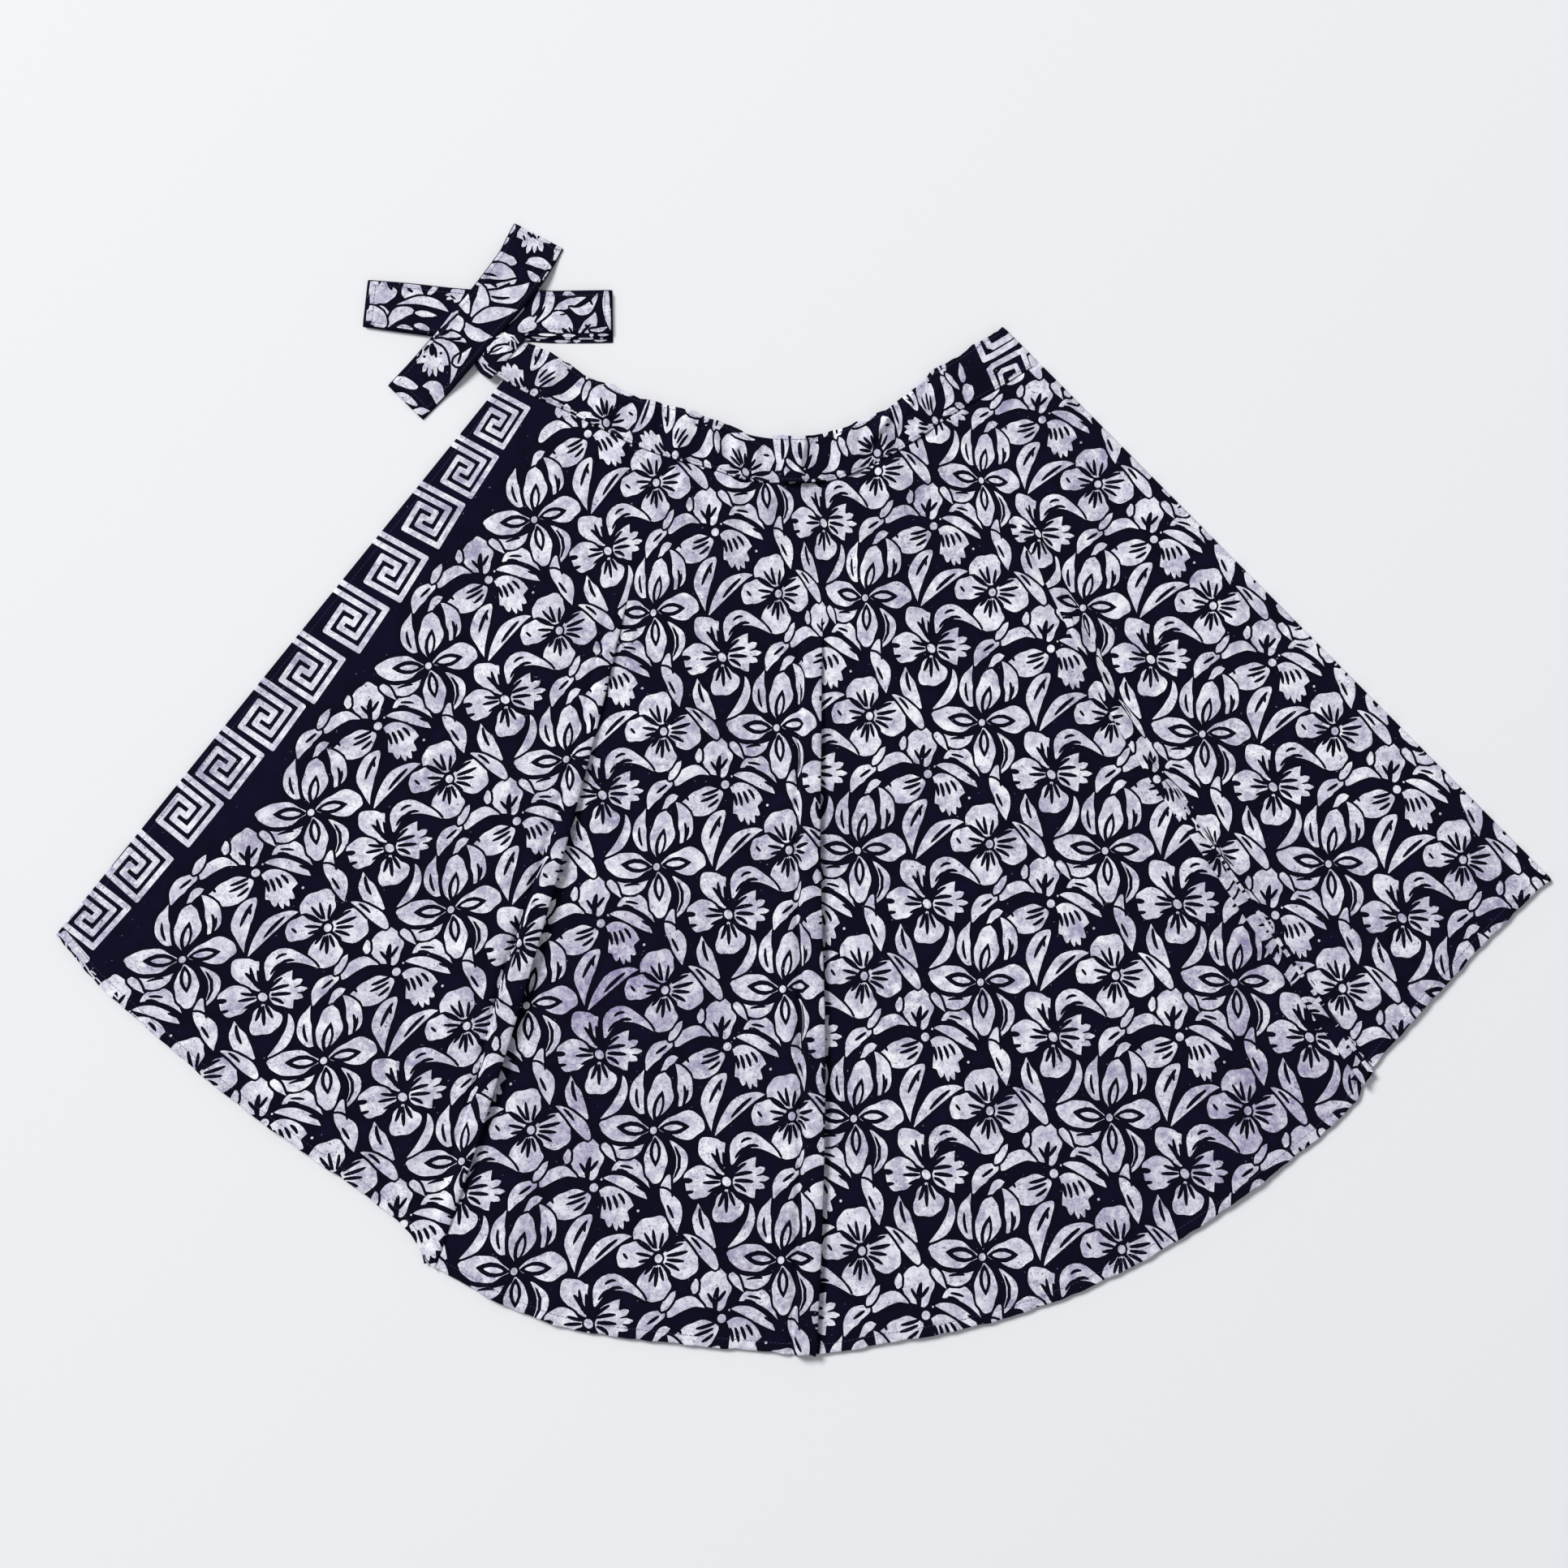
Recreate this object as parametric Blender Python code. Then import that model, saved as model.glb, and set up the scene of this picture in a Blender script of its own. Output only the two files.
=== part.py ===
"""A wrap skirt, closed and laid flat on a floor, with its tie folded beside the waistband.

The panels are fans about one point, the apex, above the waist. A place on the cloth is an
angle about the apex, measured from straight down and growing to the right, and a share of
the way from the waist seam to the hem. Metres, +Z up, the floor at height 0.
"""
import math

import bpy
import numpy as np

MM = 0.001

# Thicknesses and clearances
CLOTH = 1.2 * MM  # wall of one layer of the skirt
BAND_CLOTH = 1.8 * MM  # wall of the waistband, which is sewn double
TIE_LAYER = 1.2 * MM  # one layer of the folded tie
GAP = 0.3 * MM  # clearance between pieces

# Middle of the laid garment, which becomes the origin, in the measure of the tie's tables
MIDDLE_X = 2.1 * MM
MIDDLE_Y = 0.27 * MM

# The fan
APEX_X = -36.6 * MM - MIDDLE_X
APEX_Y = 528.9 * MM - MIDDLE_Y
LEFT_ANGLE = -38.9  # free edge of the front, in degrees
RIGHT_ANGLE = 44.8  # side of the skirt
UNDER_WRAP_END = 42.0  # hidden free edge of the second front
BAND_LEFT_ANGLE = -40.6  # left end of the waistband
HIDDEN_INSET = 2.5 * MM  # how far the hidden layers stop short of what lies on them
SEAM_LAP = 2.0 * MM  # how far a side turns over before its seam
PANEL_LENGTH = 600 * MM  # from the waist seam to the hem
BAND_WIDTH = 36 * MM
EDGE_CALM = 3.0  # degrees beside an edge over which the swells die out

# The waistband: angle in degrees, radius of its top edge and of its seam in millimetres
WAISTBAND = (
    (-44, 264, 294),
    (-40, 259, 292),
    (-35, 253, 289),
    (-29, 254, 285),
    (-24, 252, 285),
    (-18, 253, 288),
    (-12, 252, 291),
    (-6, 257, 294),
    (0, 265, 302),
    (5, 269, 304),
    (11, 271, 307),
    (16, 269, 304),
    (21, 267, 300),
    (26, 263, 296),
    (31, 257, 293),
    (36, 258, 295),
    (41, 260, 298),
    (47, 266, 304),
)

# The hem: angle in degrees, radius in millimetres
HEM = (
    (-41, 816),
    (-38.9, 818),
    (-36, 828),
    (-32, 836),
    (-28, 847),
    (-23, 862),
    (-19, 877),
    (-16.6, 892),
    (-15.2, 910),
    (-13.5, 919),
    (-11, 930),
    (-8, 938),
    (-4, 940),
    (0, 944),
    (3, 948),
    (6, 944),
    (10, 941),
    (14, 935),
    (18, 925),
    (22, 912),
    (26, 898),
    (30.4, 882),
    (31.4, 870),
    (35, 854),
    (39, 843),
    (42, 839),
    (47, 838),
)

# The folds of the front, from left to right. A fold leans over to the right when the cloth on
# its left lies on top. Its rows are the share of the way down, the angle of its crest and the
# overhang of the top layer in millimetres, which is next to nothing where the fold begins.
LEFT_FOLD = (
    (0.00, -12.6, 0.2),
    (0.12, -13.2, 0.4),
    (0.30, -13.2, 7),
    (0.55, -13.6, 15),
    (0.80, -14.2, 21),
    (1.00, -14.8, 24),
)
CENTRE_FOLD = (
    (0.00, 9.1, 14),
    (0.10, 8.0, 21),
    (0.25, 6.4, 22),
    (0.42, 5.1, 21),
    (0.66, 4.3, 18),
    (1.00, 2.9, 13),
)
RIGHT_FOLD = (
    (0.00, 31.2, 0.2),
    (0.10, 30.7, 0.8),
    (0.30, 29.6, 6),
    (0.45, 29.2, 8),
    (0.65, 30.0, 11),
    (1.00, 31.1, 14),
)
# The fold in the middle of the waistband, whose right part lies on its left part
BAND_FOLD = (
    (0.0, 3.3, 15),
    (0.5, 3.6, 14),
    (1.0, 4.0, 12),
)

TURN = 0.9 * MM  # bend radius of a fold, at the middle of the cloth
BAND_TURN = 1.2 * MM
FOLD_DROP = 1.5 * MM  # how far the hidden layer of a fold slopes down
FOLD_RAMP = 26 * MM  # width over which the top layer climbs onto its fold
BAND_RAMP = 12 * MM
TURN_STEPS = 5
RAMP_STEPS = 4
TUCK_ROOM = 2.5  # room left of a fold's inner turn, in bend radii, before the ramp begins
LEAST_OVERHANG = 0.2 * MM
SHARPEST_TURN = 0.5  # least cosine of half a bend that the wall's offset allows for

# Where the cloth stands off the floor in soft swells: angle in degrees, share of the way
# down, half width and half length in millimetres, height in millimetres
SWELLS = (
    (-33, 0.55, 40, 190, 1.6),
    (-24, 0.85, 55, 150, 2.6),
    (-21, 0.30, 26, 120, 2.0),
    (-17.6, 0.80, 13, 150, 2.4),
    (-11.8, 0.96, 13, 55, 2.6),
    (-9.4, 0.98, 11, 45, 2.2),
    (-6, 0.45, 30, 200, 1.8),
    (-3, 0.90, 34, 120, 1.6),
    (8, 0.75, 42, 180, 1.8),
    (14, 0.20, 22, 90, 2.2),
    (19, 0.60, 48, 170, 2.4),
    (24, 0.95, 30, 80, 1.8),
    (27, 0.30, 20, 120, 1.8),
    (34, 0.35, 18, 130, 1.9),
    (36, 0.85, 34, 110, 2.2),
    (41, 0.55, 26, 160, 1.5),
)
# Short puckers under the waistband, in the same columns
PUCKERS = (
    (-19, 0.02, 7, 34, 2.2),
    (-9, 0.02, 6, 40, 2.4),
    (-3, 0.02, 7, 52, 3.0),
    (2, 0.02, 5, 40, 2.2),
    (13, 0.02, 6, 46, 2.6),
    (19, 0.02, 7, 50, 2.4),
    (26, 0.02, 6, 40, 2.0),
)
# Crumples of the waistband: angle, share of its width, half width and half length, height
CRUMPLES = (
    (-33, 0.3, 12, 22, 2.0),
    (-24, 0.8, 9, 20, 2.8),
    (-17, 0.2, 8, 16, 3.0),
    (-11, 0.6, 8, 24, 3.6),
    (-5.5, 0.3, 6, 26, 4.2),
    (-1.5, 0.9, 6, 18, 3.4),
    (9, 0.8, 7, 22, 3.6),
    (14.5, 0.5, 6, 26, 4.6),
    (20, 0.2, 7, 24, 4.0),
    (25, 0.7, 8, 20, 3.0),
    (32, 0.3, 10, 20, 2.2),
    (39, 0.6, 12, 24, 1.6),
)

# The tie. A length of it is a row of places along its middle line: x, y, width and the height
# of its underside, in millimetres
TIE_FLAT = (
    (-322.2, 359.1, 35, 0),
    (-290, 355.5, 37, 0),
    (-262, 352.4, 37, 0),
    (-238, 351.5, 35.5, 0),
    (-212, 350.9, 38, 0),
    (-187, 349.2, 38.6, 0),
    (-160, 349.2, 39, 0),
    (-139.2, 349.5, 39, 0),
)
TIE_CROSS = (
    (-193.8, 408.9, 41, 0),
    (-199, 399, 41, 0.8),
    (-205, 387.5, 40, 3.8),
    (-212, 377.5, 39.5, 5.3),
    (-221, 366, 39, 5.3),
    (-232, 353, 38, 5.3),
    (-243, 340.5, 37.5, 5.3),
    (-253, 328, 37, 5.3),
    (-264, 315.5, 37, 3.6),
    (-277, 301.5, 37, 0.4),
    (-292.5, 285.6, 36.5, 0),
)
TIE_FLAT_LAYERS = 4
TIE_CROSS_LAYERS = 2
# How far each layer of a stack is drawn back from the one that sticks out most
LAYER_OFFSETS = (0.0, 1.6, 0.5, 2.2)
LAYER_GROOVE = 1.4 * MM  # depth of the groove between two layers at the edge
LAYER_ROUND = 0.25 * MM  # rounding of a layer's edge
ROLL_FULLNESS = 0.45  # 1 would make the roll's crown pointed, 0 a box
ROLL_STEPS = 10
# The turned end of the waistband, where the tie starts: angle in degrees, radius of its two
# edges and height of its crown in millimetres
TIE_ROOT = (
    (-40.8, 261, 292.4, 6.8),
    (-41.6, 264, 292, 8.2),
    (-42.4, 267.5, 290.5, 8.4),
    (-43.0, 271, 287, 7.0),
    (-43.3, 276, 282, 4.5),
)

NAVY = (0.010, 0.011, 0.034, 1.0)
WAX_WHITE = (0.66, 0.69, 0.78, 1.0)


def remove_everything():
    for obj in list(bpy.data.objects):
        bpy.data.objects.remove(obj, do_unlink=True)


def cloth_material(name, colour):
    """A matt printed cotton."""
    material = bpy.data.materials.new(name)
    material.use_nodes = True
    shader = material.node_tree.nodes["Principled BSDF"]
    shader.inputs["Base Color"].default_value = colour
    shader.inputs["Roughness"].default_value = 0.85
    shader.inputs["Metallic"].default_value = 0.0
    return material


def curve_through(rows, at, column=1):
    """The value at a place of a smooth curve through a table's rows."""
    places = [row[0] for row in rows]
    values = [row[column] for row in rows]
    last = len(rows) - 1
    slopes = [
        (values[min(i + 1, last)] - values[max(i - 1, 0)])
        / (places[min(i + 1, last)] - places[max(i - 1, 0)])
        for i in range(last + 1)
    ]
    at = min(max(at, places[0]), places[-1])
    i = min(max(int(np.searchsorted(places, at)) - 1, 0), last - 1)
    span = places[i + 1] - places[i]
    t = (at - places[i]) / span
    start = (2 * t**3 - 3 * t**2 + 1) * values[i] + (t**3 - 2 * t**2 + t) * span * slopes[i]
    end = (3 * t**2 - 2 * t**3) * values[i + 1] + (t**3 - t**2) * span * slopes[i + 1]
    return start + end


def smoothstep(t):
    t = min(max(t, 0.0), 1.0)
    return t * t * (3 - 2 * t)


def seam_radius(angle):
    return curve_through(WAISTBAND, angle, 2) * MM


def band_top_radius(angle):
    return curve_through(WAISTBAND, angle, 1) * MM


def hem_radius(angle):
    return curve_through(HEM, angle) * MM


def panel_radius(angle, down, inset=0.0):
    """Radius on a panel, a share of the way down from the waist seam to the hem."""
    top = seam_radius(angle) + GAP / 2
    return top + (hem_radius(angle) - inset - top) * down


def band_radius(angle, down):
    """Radius on the waistband, a share of the way from its top edge to the seam."""
    top = band_top_radius(angle)
    return top + (seam_radius(angle) - GAP / 2 - top) * down


def hidden_band_radius(angle, down):
    """The same on the hidden waistbands, whose top edge is a little lower."""
    top = band_top_radius(angle) + HIDDEN_INSET
    return top + (seam_radius(angle) - GAP / 2 - top) * down


def fan_place(angle, radius, height):
    turned = math.radians(angle)
    return (APEX_X + radius * math.sin(turned), APEX_Y - radius * math.cos(turned), height)


def swelling(table, angle, down, radius, length):
    """Height of the soft swells in a table at one place of a cloth of some length."""
    height = 0.0
    for centre, centre_down, half_width, half_length, top in table:
        across = math.radians(angle - centre) * radius / (half_width * MM)
        along = (down - centre_down) * length / (half_length * MM)
        height += top * MM * math.exp(-(across**2) - along**2)
    return height


# Middle heights of the layers, at the hem and at the waistband
BACK_HEIGHT = CLOTH / 2
UNDER_HEIGHT = BACK_HEIGHT + CLOTH + GAP
FRONT_HEIGHT = UNDER_HEIGHT + CLOTH + GAP
BAND_BACK_HEIGHT = BAND_CLOTH / 2
BAND_UNDER_HEIGHT = BAND_BACK_HEIGHT + BAND_CLOTH + GAP
BAND_FRONT_HEIGHT = BAND_UNDER_HEIGHT + BAND_CLOTH + GAP
WAIST_RISE = 0.12  # share of the way down over which the panels rise to the waistband
HIDDEN_ROWS = (0.0, 0.03, 0.06, 0.09, 0.12, 1.0)


def rising(hem_height, band_height, down):
    """Height of a panel, which rises to the middle of its waistband."""
    return hem_height + (band_height - hem_height) * smoothstep(1 - down / WAIST_RISE)


def front_ground(angle, down):
    """Height of the front where it is not folded."""
    radius = panel_radius(angle, down)
    lift = swelling(SWELLS + PUCKERS, angle, down, radius, PANEL_LENGTH)
    edge = min(angle - LEFT_ANGLE, RIGHT_ANGLE - angle)
    return rising(FRONT_HEIGHT, BAND_FRONT_HEIGHT, down) + lift * smoothstep(edge / EDGE_CALM)


def band_ground(angle, down):
    """Height of the front waistband where it is not folded."""
    radius = band_radius(angle, down)
    edge = min(angle - BAND_LEFT_ANGLE, RIGHT_ANGLE - angle)
    lift = swelling(CRUMPLES, angle, down, radius, BAND_WIDTH)
    return BAND_FRONT_HEIGHT + lift * smoothstep(edge / EDGE_CALM)


def knife_fold(crest, overhang, radius, turn, ramp):
    """A fold that leans to the right, from its ramp to the end of its second turn.

    The cloth climbs the ramp, turns over at the crest, runs back under itself by the overhang
    and turns forward again. Returns rows of angle and rise above the ground.
    """
    if overhang <= FOLD_DROP:
        lean = math.pi / 2 * overhang / FOLD_DROP
    else:
        lean = math.pi - math.asin(FOLD_DROP / overhang)
    bend = math.pi * turn / lean
    drop = 2 * bend * (1 - math.cos(lean)) + overhang * math.sin(lean)
    start = -bend * math.sin(min(lean, math.pi / 2))
    turned = []
    for i in range(TURN_STEPS + 1):
        a = lean * i / TURN_STEPS
        turned.append((start + bend * math.sin(a), drop - bend * (1 - math.cos(a))))
    across, height = turned[-1]
    across += overhang * math.cos(lean)
    height -= overhang * math.sin(lean)
    end = (across + bend * math.sin(lean), height - bend * (1 - math.cos(lean)))
    for i in range(TURN_STEPS + 1):
        a = lean * (1 - i / TURN_STEPS)
        turned.append((end[0] - bend * math.sin(a), end[1] + bend * (1 - math.cos(a))))
    tip = min(start - LEAST_OVERHANG, end[0] - TUCK_ROOM * bend)
    climb = []
    for i in range(RAMP_STEPS + 1):
        share = i / RAMP_STEPS
        climb.append((tip - ramp * (1 - share), drop * smoothstep(share)))
    return [(crest + math.degrees(x / radius), z) for x, z in climb + turned]


def mirrored(fold, crest):
    """The same fold leaning to the left."""
    return [(2 * crest - angle, z) for angle, z in reversed(fold)]


def folded_section(down, start, end, folds, radius_at, ground, turn, ramp):
    """One crosswise line of folded cloth, as rows of angle and height.

    Each fold is a table, whether it leans to the left, and how many steps lie between it and
    what is on its left.
    """
    rows = []
    left = start
    for table, leans_left, steps in folds:
        crest = curve_through(table, down, 1)
        overhang = max(curve_through(table, down, 2) * MM, LEAST_OVERHANG)
        fold = knife_fold(crest, overhang, radius_at(crest, down), turn, ramp)
        if leans_left:
            fold = mirrored(fold, crest)
        for i in range(steps):
            angle = left + (fold[0][0] - left) * i / steps
            rows.append((angle, 0.0))
        rows.extend(fold)
        left = fold[-1][0]
        rows.pop()
    steps = end[1]
    for i in range(steps + 1):
        rows.append((left + (end[0] - left) * i / steps, 0.0))
    return [(angle, rise + ground(angle, down)) for angle, rise in rows]


def calm_end(radius, high, low):
    """Angle at which the flat cloth ends and its turn at the right side is near."""
    return RIGHT_ANGLE - math.degrees(0.8 * (high - low) / radius)


def turned_under(section, edge, radius, low):
    """A section with its right end turned down and back to the seam at its side."""
    high = section[-1][1]
    bend = (high - low) / 2
    rows = list(section)
    for i in range(TURN_STEPS + 2):
        a = math.pi * i / (TURN_STEPS + 1)
        across = bend * (math.sin(a) - 1)
        rows.append((edge + math.degrees(across / radius), low + bend * (1 + math.cos(a))))
    rows.append((edge - math.degrees((bend + SEAM_LAP) / radius), low))
    return rows


def turned_over(edge, radius, low, high, rest):
    """A hidden layer's left end: its seam, its turn down, and the rest of it."""
    bend = (high - low) / 2
    rows = [(edge + math.degrees((bend + SEAM_LAP) / radius), high)]
    for i in range(TURN_STEPS + 2):
        a = math.pi * i / (TURN_STEPS + 1)
        across = bend * (1 - math.sin(a))
        rows.append((edge + math.degrees(across / radius), high - bend * (1 - math.cos(a))))
    return rows + rest


def level(start, end, height, steps):
    """A flat stretch of cloth."""
    return [(start + (end - start) * i / steps, height) for i in range(steps + 1)]


def cloth_wall(name, sections, radius_at, thickness, material):
    """A closed wall from sections of angle and height, the first one uppermost.

    Each section's rows are offset to both sides of the line in the section's own plane.
    """
    faces_up = []
    faces_down = []
    for down, section in sections:
        angles = np.radians([row[0] for row in section])
        heights = np.array([row[1] for row in section])
        radii = np.array([radius_at(row[0], down) for row in section])
        arc = np.concatenate([[0.0], np.cumsum(np.diff(angles) * (radii[1:] + radii[:-1]) / 2)])
        lengths = np.hypot(np.diff(arc), np.diff(heights))
        steps = np.stack([np.diff(arc), np.diff(heights)], 1) / lengths[:, None]
        before = np.vstack([steps[:1], steps])
        after = np.vstack([steps, steps[-1:]])
        heading = before + after
        heading /= np.hypot(heading[:, 0], heading[:, 1])[:, None]
        square = np.clip((before * heading).sum(1), SHARPEST_TURN, 1.0)
        reach = thickness / 2 / square
        normal = np.stack([-heading[:, 1], heading[:, 0]], 1) * reach[:, None]
        for side, rows in ((1, faces_up), (-1, faces_down)):
            moved = np.degrees(angles + side * normal[:, 0] / radii)
            lifted = heights + side * normal[:, 1]
            rows.append([fan_place(a, r, z) for a, r, z in zip(moved, radii, lifted)])
    return grid_solid(name, faces_up, faces_down, material)


def grid_solid(name, upper, lower, material):
    """A closed body between two grids of the same size, joined round their edges."""
    rows = len(upper)
    columns = len(upper[0])
    points = [point for row in upper for point in row] + [point for row in lower for point in row]
    below = rows * columns
    faces = []
    for i in range(rows - 1):
        for j in range(columns - 1):
            a = i * columns + j
            faces.append((a, a + columns, a + columns + 1, a + 1))
            faces.append((below + a, below + a + 1, below + a + columns + 1, below + a + columns))
    ring = [(0, j) for j in range(columns)]
    ring += [(i, columns - 1) for i in range(1, rows)]
    ring += [(rows - 1, j) for j in range(columns - 2, -1, -1)]
    ring += [(i, 0) for i in range(rows - 2, 0, -1)]
    edge = [i * columns + j for i, j in ring]
    for a, b in zip(edge, edge[1:] + edge[:1]):
        faces.append((a, b, below + b, below + a))
    return closed_object(name, points, faces, material)


def closed_object(name, points, faces, material):
    mesh = bpy.data.meshes.new(name)
    mesh.from_pydata(points, [], faces)
    mesh.materials.append(material)
    mesh.shade_smooth()
    mesh.set_sharp_from_angle(angle=math.radians(40))
    mesh.update()
    obj = bpy.data.objects.new(name, mesh)
    bpy.context.scene.collection.objects.link(obj)
    return obj


def shares(count):
    return [i / (count - 1) for i in range(count)]


def right_turn_end(down, radius_at, high, low):
    """Angle at which the turned side ends and its seam lies."""
    radius = radius_at(RIGHT_ANGLE, down)
    bend = (high - low) / 2
    return RIGHT_ANGLE - math.degrees((bend + SEAM_LAP + GAP) / radius)


def make_front_panel(material):
    folds = ((LEFT_FOLD, False, 9), (CENTRE_FOLD, False, 6), (RIGHT_FOLD, True, 9))
    sections = []
    for down in shares(22):
        radius = panel_radius(RIGHT_ANGLE, down)
        end = calm_end(radius, rising(FRONT_HEIGHT, BAND_FRONT_HEIGHT, down), BACK_HEIGHT)
        section = folded_section(
            down, LEFT_ANGLE, (end, 6), folds, panel_radius, front_ground, TURN, FOLD_RAMP
        )
        sections.append((down, turned_under(section, RIGHT_ANGLE, radius, BACK_HEIGHT)))
    return cloth_wall("front_panel", sections, panel_radius, CLOTH, material)


def hidden_panel_radius(angle, down):
    return panel_radius(angle, down, HIDDEN_INSET)


def make_back_panel(material):
    sections = []
    for down in HIDDEN_ROWS:
        radius = hidden_panel_radius(LEFT_ANGLE, down)
        edge = LEFT_ANGLE + math.degrees(HIDDEN_INSET / radius)
        under = rising(UNDER_HEIGHT, BAND_UNDER_HEIGHT, down)
        front = rising(FRONT_HEIGHT, BAND_FRONT_HEIGHT, down)
        bend = (under - BACK_HEIGHT) / 2
        start = edge + math.degrees((bend + SEAM_LAP) / radius)
        end = right_turn_end(down, panel_radius, front, BACK_HEIGHT)
        rest = level(start, end, BACK_HEIGHT, 40)
        sections.append((down, turned_over(edge, radius, BACK_HEIGHT, under, rest)))
    return cloth_wall("back_panel", sections, hidden_panel_radius, CLOTH, material)


def make_under_wrap(material):
    sections = []
    for down in HIDDEN_ROWS:
        radius = hidden_panel_radius(LEFT_ANGLE, down)
        under = rising(UNDER_HEIGHT, BAND_UNDER_HEIGHT, down)
        turn = (under - BACK_HEIGHT) / 2
        start = LEFT_ANGLE + math.degrees((HIDDEN_INSET + turn + SEAM_LAP + GAP) / radius)
        sections.append((down, level(start, UNDER_WRAP_END, under, 40)))
    return cloth_wall("under_wrap", sections, hidden_panel_radius, CLOTH, material)


def make_waistband_front(material):
    sections = []
    for down in shares(6):
        radius = band_radius(RIGHT_ANGLE, down)
        section = folded_section(
            down,
            BAND_LEFT_ANGLE,
            (calm_end(radius, BAND_FRONT_HEIGHT, BAND_BACK_HEIGHT), 18),
            ((BAND_FOLD, True, 18),),
            band_radius,
            band_ground,
            BAND_TURN,
            BAND_RAMP,
        )
        sections.append((down, turned_under(section, RIGHT_ANGLE, radius, BAND_BACK_HEIGHT)))
    return cloth_wall("waistband_front", sections, band_radius, BAND_CLOTH, material)


def make_waistband_back(material):
    sections = []
    for down in shares(2):
        radius = hidden_band_radius(LEFT_ANGLE, down)
        bend = (BAND_UNDER_HEIGHT - BAND_BACK_HEIGHT) / 2
        start = LEFT_ANGLE + math.degrees((bend + SEAM_LAP) / radius)
        end = right_turn_end(down, band_radius, BAND_FRONT_HEIGHT, BAND_BACK_HEIGHT)
        rest = level(start, end, BAND_BACK_HEIGHT, 40)
        turned = turned_over(LEFT_ANGLE, radius, BAND_BACK_HEIGHT, BAND_UNDER_HEIGHT, rest)
        sections.append((down, turned))
    return cloth_wall("waistband_back", sections, hidden_band_radius, BAND_CLOTH, material)


def make_waistband_under(material):
    sections = []
    for down in shares(2):
        radius = hidden_band_radius(LEFT_ANGLE, down)
        bend = (BAND_UNDER_HEIGHT - BAND_BACK_HEIGHT) / 2
        start = LEFT_ANGLE + math.degrees((bend + SEAM_LAP + GAP) / radius)
        sections.append((down, level(start, UNDER_WRAP_END, BAND_UNDER_HEIGHT, 40)))
    return cloth_wall("waistband_under", sections, hidden_band_radius, BAND_CLOTH, material)


def along_route(table, steps):
    """Places on a smooth line through a table's rows, with the line's heading at each."""
    last = len(table) - 1
    columns = [[(i, row[c]) for i, row in enumerate(table)] for c in range(len(table[0]))]
    places = []
    for k in range(steps + 1):
        at = last * k / steps
        places.append([curve_through(column, at) for column in columns])
    routes = np.array([place[:2] for place in places])
    headings = np.gradient(routes, axis=0)
    headings /= np.hypot(headings[:, 0], headings[:, 1])[:, None]
    return places, headings


def stack_outline(half_width, layers):
    """Right side of a stack of layers, from its underside up, as rows of across and height."""
    side = []
    for i in range(layers):
        out = half_width - LAYER_OFFSETS[i % len(LAYER_OFFSETS)] * MM
        low = i * TIE_LAYER
        high = low + TIE_LAYER
        if i > 0:
            side.append((out - LAYER_GROOVE, low))
        side.append((out - LAYER_ROUND, low + (0 if i == 0 else LAYER_ROUND)))
        side.append((out, low + TIE_LAYER / 2))
        side.append((out - LAYER_ROUND, high - (0 if i == layers - 1 else LAYER_ROUND)))
    return side


def swept_solid(name, rings, material):
    """A closed body through rings of the same number of points, capped at both ends."""
    count = len(rings[0])
    points = [point for ring in rings for point in ring]
    faces = []
    for i in range(len(rings) - 1):
        for j in range(count):
            a = i * count + j
            b = i * count + (j + 1) % count
            faces.append((a, b, b + count, a + count))
    faces.append(tuple(reversed(range(count))))
    faces.append(tuple(range(len(points) - count, len(points))))
    return closed_object(name, points, faces, material)


def make_tie_stack(name, table, layers, steps, material):
    """A length of the folded tie: one solid, with its layers showing at the edges."""
    places, headings = along_route(table, steps)
    rings = []
    for (x, y, width, floor), (hx, hy) in zip(places, headings):
        right = stack_outline(width * MM / 2, layers)
        left = [(-across, height) for across, height in reversed(right)]
        floor = max(floor, 0.0) * MM
        middle_x = x * MM - MIDDLE_X
        middle_y = y * MM - MIDDLE_Y
        rings.append([
            (middle_x + across * hy, middle_y - across * hx, floor + height)
            for across, height in reversed(right + left)
        ])
    return swept_solid(name, rings, material)


def make_tie_root(material):
    """The waistband's turned end, a crowned roll that narrows towards the tie."""
    rings = []
    for angle, inner, outer, crown in TIE_ROOT:
        middle = (inner + outer) * MM / 2
        half = (outer - inner) * MM / 2
        base = [(half * across, 0.0) for across in (1, 0.5, 0, -0.5, -1)]
        over = []
        for i in range(1, ROLL_STEPS):
            a = math.pi * i / ROLL_STEPS
            over.append((-half * math.cos(a), crown * MM * math.sin(a) ** ROLL_FULLNESS))
        rings.append([fan_place(angle, middle + r, z) for r, z in reversed(base + over)])
    return swept_solid("tie_root", rings, material)


def main():
    remove_everything()
    printed = cloth_material("printed_cotton", NAVY)
    light = cloth_material("wax_white", WAX_WHITE)
    make_back_panel(printed)
    make_under_wrap(printed)
    make_front_panel(light)
    make_waistband_back(printed)
    make_waistband_under(printed)
    make_waistband_front(printed)
    make_tie_root(light)
    make_tie_stack("tie_flat", TIE_FLAT, TIE_FLAT_LAYERS, 16, printed)
    make_tie_stack("tie_cross", TIE_CROSS, TIE_CROSS_LAYERS, 30, light)


main()
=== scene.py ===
"""The looks of a wrap skirt laid flat on a pale floor.

Every cloth is drawn on its own plan: an outline, the print's petals and veins cut into it as
real edges, and a height at each place. Lengths are millimetres, angles are degrees about the
apex above the waist, measured from straight down and growing to the right.
"""

import math
from typing import NamedTuple

import bpy
import numpy as np
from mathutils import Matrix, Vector
from mathutils.geometry import delaunay_2d_cdt
from mathutils.kdtree import KDTree


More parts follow.
